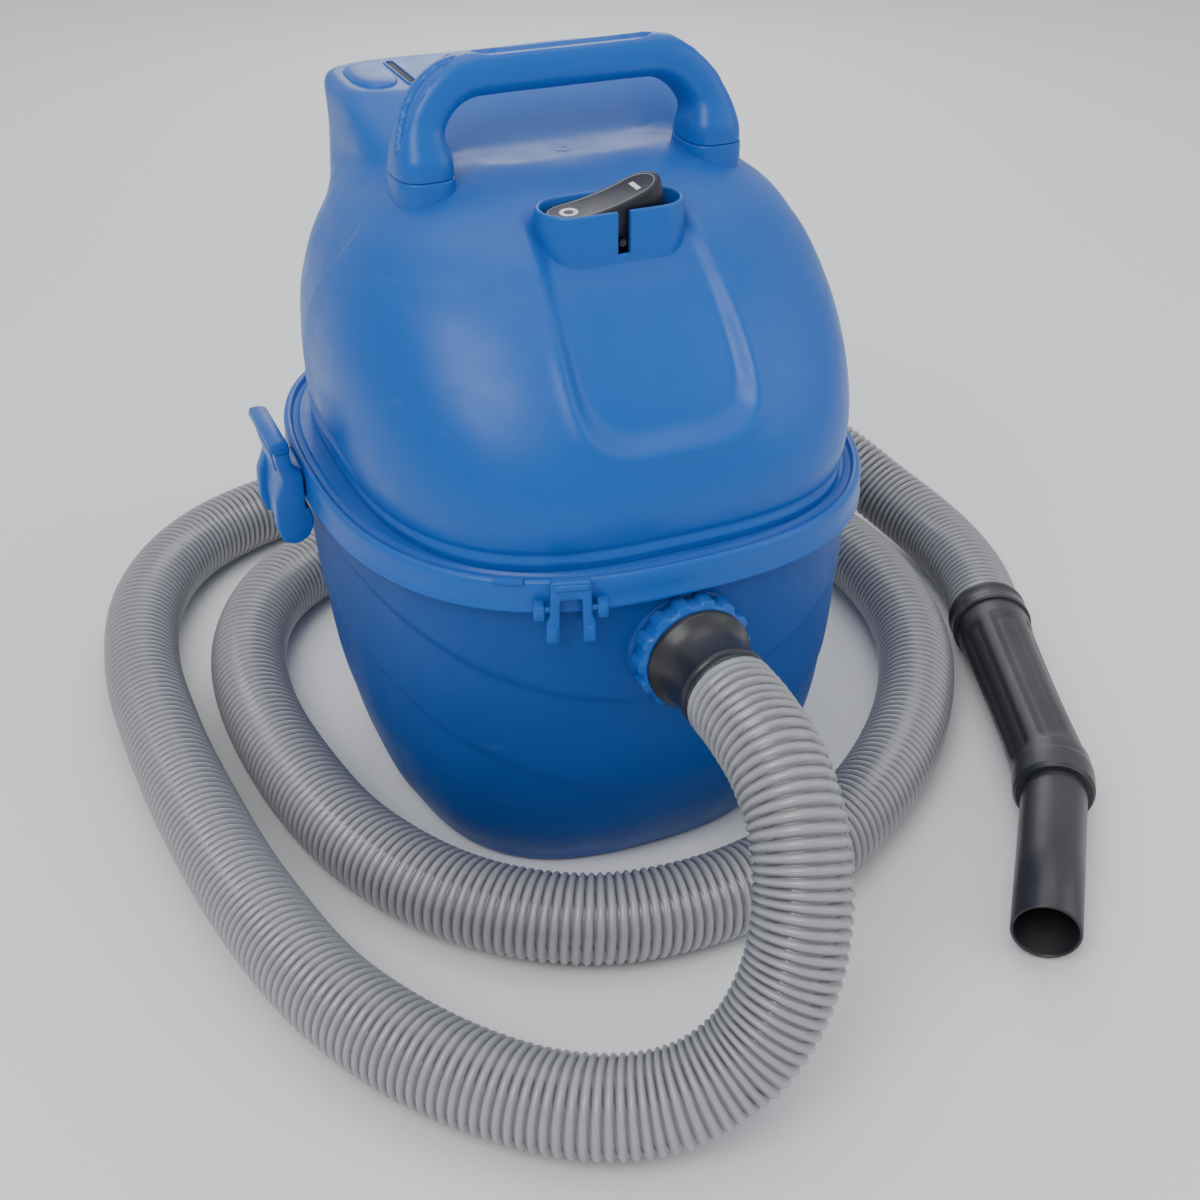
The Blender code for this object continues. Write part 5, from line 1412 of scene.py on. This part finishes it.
        floor = prism(inset(outer, wall - 0.0004), self.well_floor - 0.0015, self.well_floor, 0.0004, 2)
        return Surface.merged([*parts, floor]).placed(Matrix.Translation((0.0, SWITCH_Y, 0.0)))

    def pads(self) -> list[Surface]:
        """The three lens-shaped pads on the hump."""
        angle = turn_angles(72)
        rows = []
        for share, rise in ((1.0, -0.0020), (0.98, 0.0002), (0.93, 0.0012), (0.84, 0.0020),
                            (0.70, 0.0026), (0.45, 0.0030), (0.18, 0.0031)):
            reach = super_radius(angle, 0.0120 * share, 0.0240 * share, 2.4)
            height = np.full(72, HUMP_TOP - 0.0001 + rise)
            rows.append(np.column_stack((reach * np.cos(angle), reach * np.sin(angle) + PAD_Y, height)))
        pad = Surface.grid(np.array(rows), close_low=True, close_high=True)
        return [pad.placed(Matrix.Translation((x, 0.0, 0.0))) for x in (-0.066, 0.0, 0.066)]

    def vents(self) -> tuple[list[Surface], list[Surface]]:
        """Rims of the four long vents, and dark floors in them that paint the shade inside the vent
        openings.
        """
        rims, shade_floors = [], []
        outer = stadium(0.0235, 0.0032, 10)[:, ::-1][::-1]  # its length runs along Y
        inner = inset(outer, 0.0012)
        section = ((outer, 0.3560), (outer, 0.3582), (inset(outer, 0.0004), 0.3587),
                   (inset(inner, -0.0003), 0.3587),
                   (inner, 0.3582), (inner, 0.3560))
        rows = [np.column_stack((edge, np.full(len(edge), z))) for edge, z in section]
        rim = Surface.grid(np.array(rows), loop=True)
        # A dark sheet just under the rim: painted shade standing in for the dark inside of the vent.
        floor = prism(inset(outer, 0.0008), 0.3560, 0.35786, 0.0002, 2)
        for x in (-0.0495, -0.0165, 0.0165, 0.0495):
            place = Matrix.Translation((x, PAD_Y, 0.0))
            rims.append(rim.placed(place))
            shade_floors.append(floor.placed(place))
        return rims, shade_floors

    def build(self) -> None:
        """Show the shell, the switch's wall, the pads and the vents."""
        rims, shade_floors = self.vents()
        self.show(self.surface(), "head_dome", BLUE_SHELL, Slot.BLUE, Body.HEAD, ["head_shell"], 60.0)
        self.show(self.switch_wall(), "switch_wall", BLUE_SHELL, Slot.BLUE, Body.HEAD, (), 50.0)
        self.show(Surface.merged(self.pads() + rims), "hump_pads", BLUE_SHELL, Slot.BLUE, Body.HEAD, (),
                  50.0)
        # Painted shade: dark sheets in the vents, where the openings would be in shade.
        self.show(Surface.merged(shade_floors), "vent_shade_floors", RUBBER, Slot.BLACK, Body.HEAD)


@dataclass
class Handle(Assembly):
    """The arched carry handle, with a long finger groove on its bar and a leaf-shaped one on each shoulder.

    Attributes:
        span: Half the distance between its legs' centre lines.
        seam: Height of the seam between a leg and its pedestal.
        top: Height of the bar's upper side.
        corner: Radius of the bend between leg and bar.
        thick: Half thickness of the section.
        deep: Half its depth along Y.
        y: Place of the legs' feet along Y.
        lean: How far the bar stands behind the feet.
        turn: Angle by which the grooves face forward, in radians.
        groove_depth: Depth of the grooves.
        rows: Rows of points along the bar.
    """

    span: float = 0.0735
    seam: float = 0.3400
    top: float = 0.3910
    corner: float = 0.031
    thick: float = 0.0105
    deep: float = 0.0135
    y: float = -0.009
    lean: float = 0.008
    turn: float = 0.52
    groove_depth: float = 0.0021
    rows: int = 260

    def line(self) -> np.ndarray:
        """Centre line from the left foot to the right one."""
        bar = self.top - self.thick
        turn = np.linspace(math.pi, math.pi / 2.0, 40)
        x = -self.span + self.corner + self.corner * np.cos(turn)
        z = bar - self.corner + self.corner * np.sin(turn)
        leg = np.column_stack((np.full(16, -self.span), np.linspace(self.seam + 0.0003, z[0], 17)[:-1]))
        left = np.vstack((leg, np.column_stack((x, z))))
        bar_x = np.linspace(x[-1], -x[-1], 60)[1:-1]
        flat = np.vstack((left, np.column_stack((bar_x, np.full(58, bar))), left[::-1] * (-1.0, 1.0)))
        start = self.seam + 0.004
        lean = self.y + self.lean * np.clip((flat[:, 1] - start) / (bar - start), 0.0, 1.0)
        full = np.column_stack((flat[:, 0], lean, flat[:, 1]))
        run = np.concatenate(([0.0], np.cumsum(np.linalg.norm(np.diff(full, axis=0), axis=1))))
        even = np.linspace(0.0, run[-1], self.rows)
        return np.column_stack([np.interp(even, run, full[:, axis]) for axis in range(3)])

    def surface(self) -> Surface:
        """The bar and legs: a rounded section with grooves on its outside, flared at the feet."""
        line = self.line()
        length = line_length(line)
        run = np.linspace(0.0, length, self.rows)
        run = np.minimum(run, length - run)[:, None]
        angle = turn_angles(80)[None, :]
        base = super_radius(angle, self.thick, self.deep, 2.9)
        swell = 1.0 + 0.34 * ease((0.022 - run) / 0.021) - 0.03 * ease((run - 0.046) / 0.03)
        radius = base * swell
        across = radius * np.sin(angle - self.turn)
        half = np.interp(run, (0.006, 0.012, 0.022, 0.034, 0.044, 0.0515, 0.056, 0.060, 0.071, 0.102),
                         (0.0, 0.0022, 0.0052, 0.0066, 0.0052, 0.0, 0.0, 0.0046, 0.0054, 0.0056))
        groove = ease((half - np.abs(across)) / 0.0016) * (np.cos(angle - self.turn) > 0.0)
        radius = radius - self.groove_depth * groove
        rows = tube_rows(line, radius, angle[0], (-1.0, 0.0, 0.0))
        return Surface.grid(rows, close_low=True, close_high=True)

    def feet(self) -> list[Surface]:
        """The pedestals that the legs stand on, and a narrower neck between each and its leg."""
        angle = turn_angles(72)
        reach = super_radius(angle, 0.0143, 0.0184, 3.0)
        outline = np.column_stack((reach * np.cos(angle), reach * np.sin(angle)))
        seat = prism(outline, 0.3060, self.seam - 0.0004, 0.0010)
        neck = prism(inset(outline, 0.0012), self.seam - 0.0008, self.seam + 0.0012, 0.0001, 2)
        return [part.placed(Matrix.Translation((side * self.span, self.y, 0.0)))
                for part in (seat, neck) for side in (-1, 1)]

    def build(self) -> None:
        """Show the handle and its pedestals."""
        feet = self.feet()
        bar = Surface.merged([self.surface(), *feet[2:]])
        self.show(bar, "handle_bar", BLUE_SHELL, Slot.BLUE, Body.HEAD, ["handle"], 50.0)
        self.show(Surface.merged(feet[:2]), "handle_pedestals", BLUE_SHELL, Slot.BLUE, Body.HEAD, (), 50.0)


@dataclass
class RockerSwitch(Assembly):
    """The rocker: a dished black key with a thin border line, a ring mark and a bar mark.

    Attributes:
        half_length: Half length of the key.
        half_width: Half its width.
        pivot: Middle of its axle.
        tilt: Degrees by which its right end is up at rest.
        rise: Height of the top's middle over the pivot.
        dish: How much higher its ends are.
        crown: How much lower the middle is than the edges, across.
        ring_x: Place of the ring mark along the key.
    """

    half_length: float = 0.029
    half_width: float = 0.0122
    pivot: tuple[float, float, float] = (0.0, SWITCH_Y, 0.317)
    tilt: float = 14.0
    rise: float = 0.0163
    dish: float = 0.0036
    crown: float = 0.0006
    ring_x: float = -0.0168

    def height(self, x: np.ndarray, y: np.ndarray) -> np.ndarray:
        """Height of the dished top over the pivot.

        It rises with the square of the distance from the middle along the key, and a little with the
        square of the distance across it.

        Args:
            x: Places along the key.
            y: Places across it.

        Returns:
            The heights.
        """
        along, across = (x / self.half_length) ** 2, (y / self.half_width) ** 2
        return self.rise + self.dish * along - self.crown * (1.0 - across)

    def key(self) -> Surface:
        """The key, with rounded upper edges and a narrower skirt."""
        outline = stadium(self.half_length, self.half_width, 26)
        rows = []
        for move, drop in ((0.0020, -0.0230), (0.0008, -0.0150), (0.0, -0.0070), (0.0, -0.0016),
                           (0.0003, -0.0007), (0.0009, -0.0001), (0.0018, 0.0)):
            edge = inset(outline, move)
            rows.append(np.column_stack((edge, self.height(edge[:, 0], edge[:, 1]) + drop)))
        for share in (0.82, 0.66, 0.50, 0.34, 0.18, 0.05):
            edge = inset(outline, 0.0018) * share
            rows.append(np.column_stack((edge, self.height(edge[:, 0], edge[:, 1]))))
        return Surface.grid(np.array(rows), close_low=True, close_high=True)

    def ribbon(self, outer: np.ndarray, inner: np.ndarray, thick: float) -> Surface:
        """A thin raised ribbon between two outlines, lying on the dished top."""
        rows = []
        for edge, rise in ((outer, -0.0002), (outer, thick), (inner, thick), (inner, -0.0002)):
            rows.append(np.column_stack((edge, self.height(edge[:, 0], edge[:, 1]) + rise)))
        return Surface.grid(np.array(rows), loop=True)

    def marks(self) -> Surface:
        """A ring at the low end and a bar at the high end."""
        angle = turn_angles(48)
        circle = np.column_stack((np.cos(angle), np.sin(angle)))
        middle = (self.ring_x, 0.0)
        ring = self.ribbon(circle * (0.0042, 0.0050) + middle, circle * (0.0023, 0.0029) + middle, 0.00018)
        bar = rounded_outline(((0.0157, -0.0046), (0.0181, -0.0046), (0.0181, 0.0046), (0.0157, 0.0046)),
                              0.0004, 4)
        rise = float(self.height(np.array(0.0169), np.array(0.0)))
        return Surface.merged([ring, prism(bar, rise - 0.0006, rise + 0.0003, 0.0001, 2)])

    def build(self) -> None:
        """Show the key, its border line and its marks."""
        place = Matrix.Translation(self.pivot) @ Matrix.Rotation(math.radians(-self.tilt), 4, "Y")
        outline = stadium(self.half_length, self.half_width, 26)
        line = self.ribbon(inset(outline, 0.0024), inset(outline, 0.0030), 0.00012)
        self.show(self.key().placed(place), "rocker_key", BLACK_SWITCH, Slot.BLACK, Body.ROCKER,
                  ["switch_rocker"], 60.0)
        self.show(line.placed(place), "rocker_border", MARK_GREY, Slot.BLACK, Body.ROCKER)
        self.show(self.marks().placed(place), "rocker_marks", MARK_WHITE, Slot.BLACK, Body.ROCKER)


@dataclass
class RearFittings(Assembly):
    """The exhaust grille and the lead's bush in the head's back.

    Attributes:
        half_x: Half width of the grille's opening.
        half_z: Half its height.
        middle: Height of its middle.
        back: How far back its face stands.
        slats: Number of slats.
        slat_lean: How far each slat leans, in radians.
        lead_x: The bush's place across.
        lead_z: Its height.
    """

    half_x: float = 0.040
    half_z: float = 0.0215
    middle: float = GRILLE_Z
    back: float = 0.1368
    slats: int = 7
    slat_lean: float = 0.6
    lead_x: float = 0.050
    lead_z: float = 0.2115

    def grille(self) -> Surface:
        """A rounded frame with sloping slats before a dark plate."""
        corner = ((-self.half_x - 0.003, -self.half_z - 0.003), (self.half_x + 0.003, -self.half_z - 0.003),
                  (self.half_x + 0.003, self.half_z + 0.003), (-self.half_x - 0.003, self.half_z + 0.003))
        outer = rounded_outline(corner, 0.006, 8)
        section = ((0.0, -0.0080), (0.0, 0.0000), (0.0006, 0.0007), (0.0026, 0.0007), (0.0032, 0.0),
                   (0.0032, -0.0080))
        rows = [np.column_stack((inset(outer, move), np.full(len(outer), rise))) for move, rise in section]
        parts = [Surface.grid(np.array(rows), loop=True),
                 prism(inset(outer, 0.0030), -0.0075, -0.0064, 0.0003, 2)]
        slat = block((-self.half_x - 0.0002, -0.0006, -0.0028), (self.half_x + 0.0002, 0.0006, 0.0028),
                     0.0004)
        lean = Matrix.Rotation(self.slat_lean, 4, "X")
        for number in range(self.slats):
            rise = (number - (self.slats - 1) / 2) * 2.0 * self.half_z / self.slats
            parts.append(slat.placed(Matrix.Translation((0.0, rise, -0.0032)) @ lean))
        place = Matrix.Translation((0.0, self.back, self.middle)) @ AXES["back"]
        return Surface.merged(parts).placed(place)

    def gland(self) -> Surface:
        """The lead's bush: a stepped, tapering sleeve with grooves."""
        profile = [(0.0035, 0.1260), (0.0088, 0.1260), (0.0088, 0.1362), (0.0082, 0.1372), (0.0067, 0.1374)]
        for number in range(4):
            start = 0.1380 + 0.0022 * number
            size = 0.0065 - 0.0004 * number
            profile += [(size, start), (size, start + 0.0012), (size - 0.0011, start + 0.0014),
                        (size - 0.0011, start + 0.0020)]
        profile += [(0.0049, 0.1468), (0.0044, 0.1476), (0.0035, 0.1476)]
        place = Matrix.Translation((self.lead_x, 0.0, self.lead_z)) @ AXES["back"]
        return turned(profile, 48, close=True).placed(place)

    def build(self) -> None:
        """Show the grille and the bush."""
        self.show(self.grille(), "rear_grille", BLACK_SATIN, Slot.BLACK, Body.HEAD, ["exhaust_grille"],
                  34.0)
        self.show(self.gland(), "lead_bush", BLACK_SATIN, Slot.BLACK, Body.HEAD, ["cord_gland"], 34.0)


# ---------------------------------------------------------------- inner pieces and surroundings
INNER_FINISHES = {
    "inlet_spigot": BLUE_TANK, "inlet_hood": BLUE_TANK, "foam_filter": FOAM, "stator": LAMINATED,
    "armature": LAMINATED,
    "field_coil_upper": COPPER, "field_coil_lower": COPPER, "lid_gasket": RUBBER, "motor_seat": RUBBER,
    "filter_band": RUBBER, "carbon_brush_left": RUBBER, "carbon_brush_right": RUBBER,
    "switch_pin": DARK_STEEL, "switch_body": BLACK_SATIN, "fan_housing": BLACK_SATIN,
    "motor_bridge": BLACK_SATIN, "filter_cage": WHITE_PLASTIC, "float_ball": WHITE_PLASTIC,
}


def finish_inner_pieces(nodes: dict[str, bpy.types.Object]) -> None:
    """Give every plain piece that is shown as it is a procedural finish; what isn't listed is steel."""
    for name, piece in nodes.items():
        finish = INNER_FINISHES.get(name, STEEL)
        piece.data.materials.clear()
        piece.data.materials.append(finish.material())
        LOG.info("%s: %s", name, finish.name)


@dataclass(frozen=True)
class SoftLight:
    """One large soft lamp.

    Attributes:
        name: Its name.
        place: Where it stands.
        size: Its width.
        power: Its power in watts.
        tint: Its colour.
    """

    name: str
    place: tuple[float, float, float]
    size: float
    power: float
    tint: tuple[float, float, float] = (1.0, 1.0, 1.0)

    def build(self, aim: Vector) -> None:
        """Make the lamp, turned to a point."""
        lamp = bpy.data.lights.new(self.name, "AREA")
        lamp.shape, lamp.size, lamp.energy, lamp.color = "DISK", self.size, self.power, self.tint
        made = bpy.data.objects.new(self.name, lamp)
        made.location = self.place
        made.rotation_mode = "QUATERNION"
        made.rotation_quaternion = (aim - Vector(self.place)).to_track_quat("-Z", "Y")
        bpy.context.scene.collection.objects.link(made)


class Surroundings:
    """Camera, pale floor, sky and soft lamps."""

    EYE = (-0.3008, -0.7500, 0.5920)
    RIGHT = (0.919, -0.394, 0.0)
    AHEAD = (0.3425, 0.7990, -0.4940)
    LENS = 51.5
    SENSOR = 36.0
    SHIFT = -0.066
    AIM = (0.0, 0.0, 0.17)
    FLOOR_HALF = 9.0
    FLOOR_DROP = 0.0003
    SKY_COLOUR = (0.93, 0.96, 1.0, 1.0)
    SKY_STRENGTH = 0.72
    LAMPS = (
        SoftLight("key_lamp", (-0.9, -0.9, 1.5), 1.1, 15.0),
        SoftLight("fill_lamp", (1.3, -0.9, 0.9), 1.3, 4.5, (0.96, 0.98, 1.0)),
        SoftLight("top_lamp", (0.2, 0.3, 1.9), 1.5, 6.0),
        SoftLight("rim_lamp", (0.6, 1.5, 0.9), 1.0, 5.0),
    )

    def camera(self) -> None:
        """Stand the camera at a person's eye height, in front and to the left."""
        data = bpy.data.cameras.new("eye")
        data.lens, data.sensor_width, data.shift_y = self.LENS, self.SENSOR, self.SHIFT
        made = bpy.data.objects.new("eye", data)
        right = Vector(self.RIGHT).normalized()
        back = -Vector(self.AHEAD).normalized()
        up = back.cross(right).normalized()
        right = up.cross(back)
        made.matrix_world = Matrix.Translation(self.EYE) @ Matrix((right, up, back)).transposed().to_4x4()
        bpy.context.scene.collection.objects.link(made)
        bpy.context.scene.camera = made

    def floor(self) -> None:
        """Lay the floor."""
        corner = np.array(((-1.0, -1.0, 0.0), (1.0, -1.0, 0.0), (1.0, 1.0, 0.0), (-1.0, 1.0, 0.0)))
        points = corner * self.FLOOR_HALF - (0.0, 0.0, self.FLOOR_DROP)
        made = Surface(points, [[0, 1, 2, 3]]).build("floor", FLOOR.material())

    def sky(self) -> None:
        """Surround everything with even pale light."""
        world = bpy.data.worlds.new("pale_sky")
        world.use_nodes = True
        graph = Graph(world.node_tree)
        light = graph.node("ShaderNodeBackground", Color=self.SKY_COLOUR, Strength=self.SKY_STRENGTH)
        graph.node("ShaderNodeOutputWorld", Surface=light.outputs[0])
        bpy.context.scene.world = world

    def lamps(self) -> None:
        """Hang the lamps."""
        for lamp in self.LAMPS:
            lamp.build(Vector(self.AIM))


def main() -> None:
    """Build everything round the frame."""
    logging.basicConfig(level=logging.INFO, format="%(message)s")
    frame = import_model()
    surroundings = Surroundings()
    surroundings.camera()
    wand = Wand().build()
    cuff = Inlet().build()
    SuctionHose().build(cuff + wand)
    surroundings.floor()
    surroundings.sky()
    surroundings.lamps()
    for kind in (Tank, LidRing, HeadShell, Handle, RockerSwitch, SideCatch, FrontClip, RearFittings):
        kind().build()
    finish_inner_pieces(frame["nodes"])


if __name__ == "__main__":
    main()
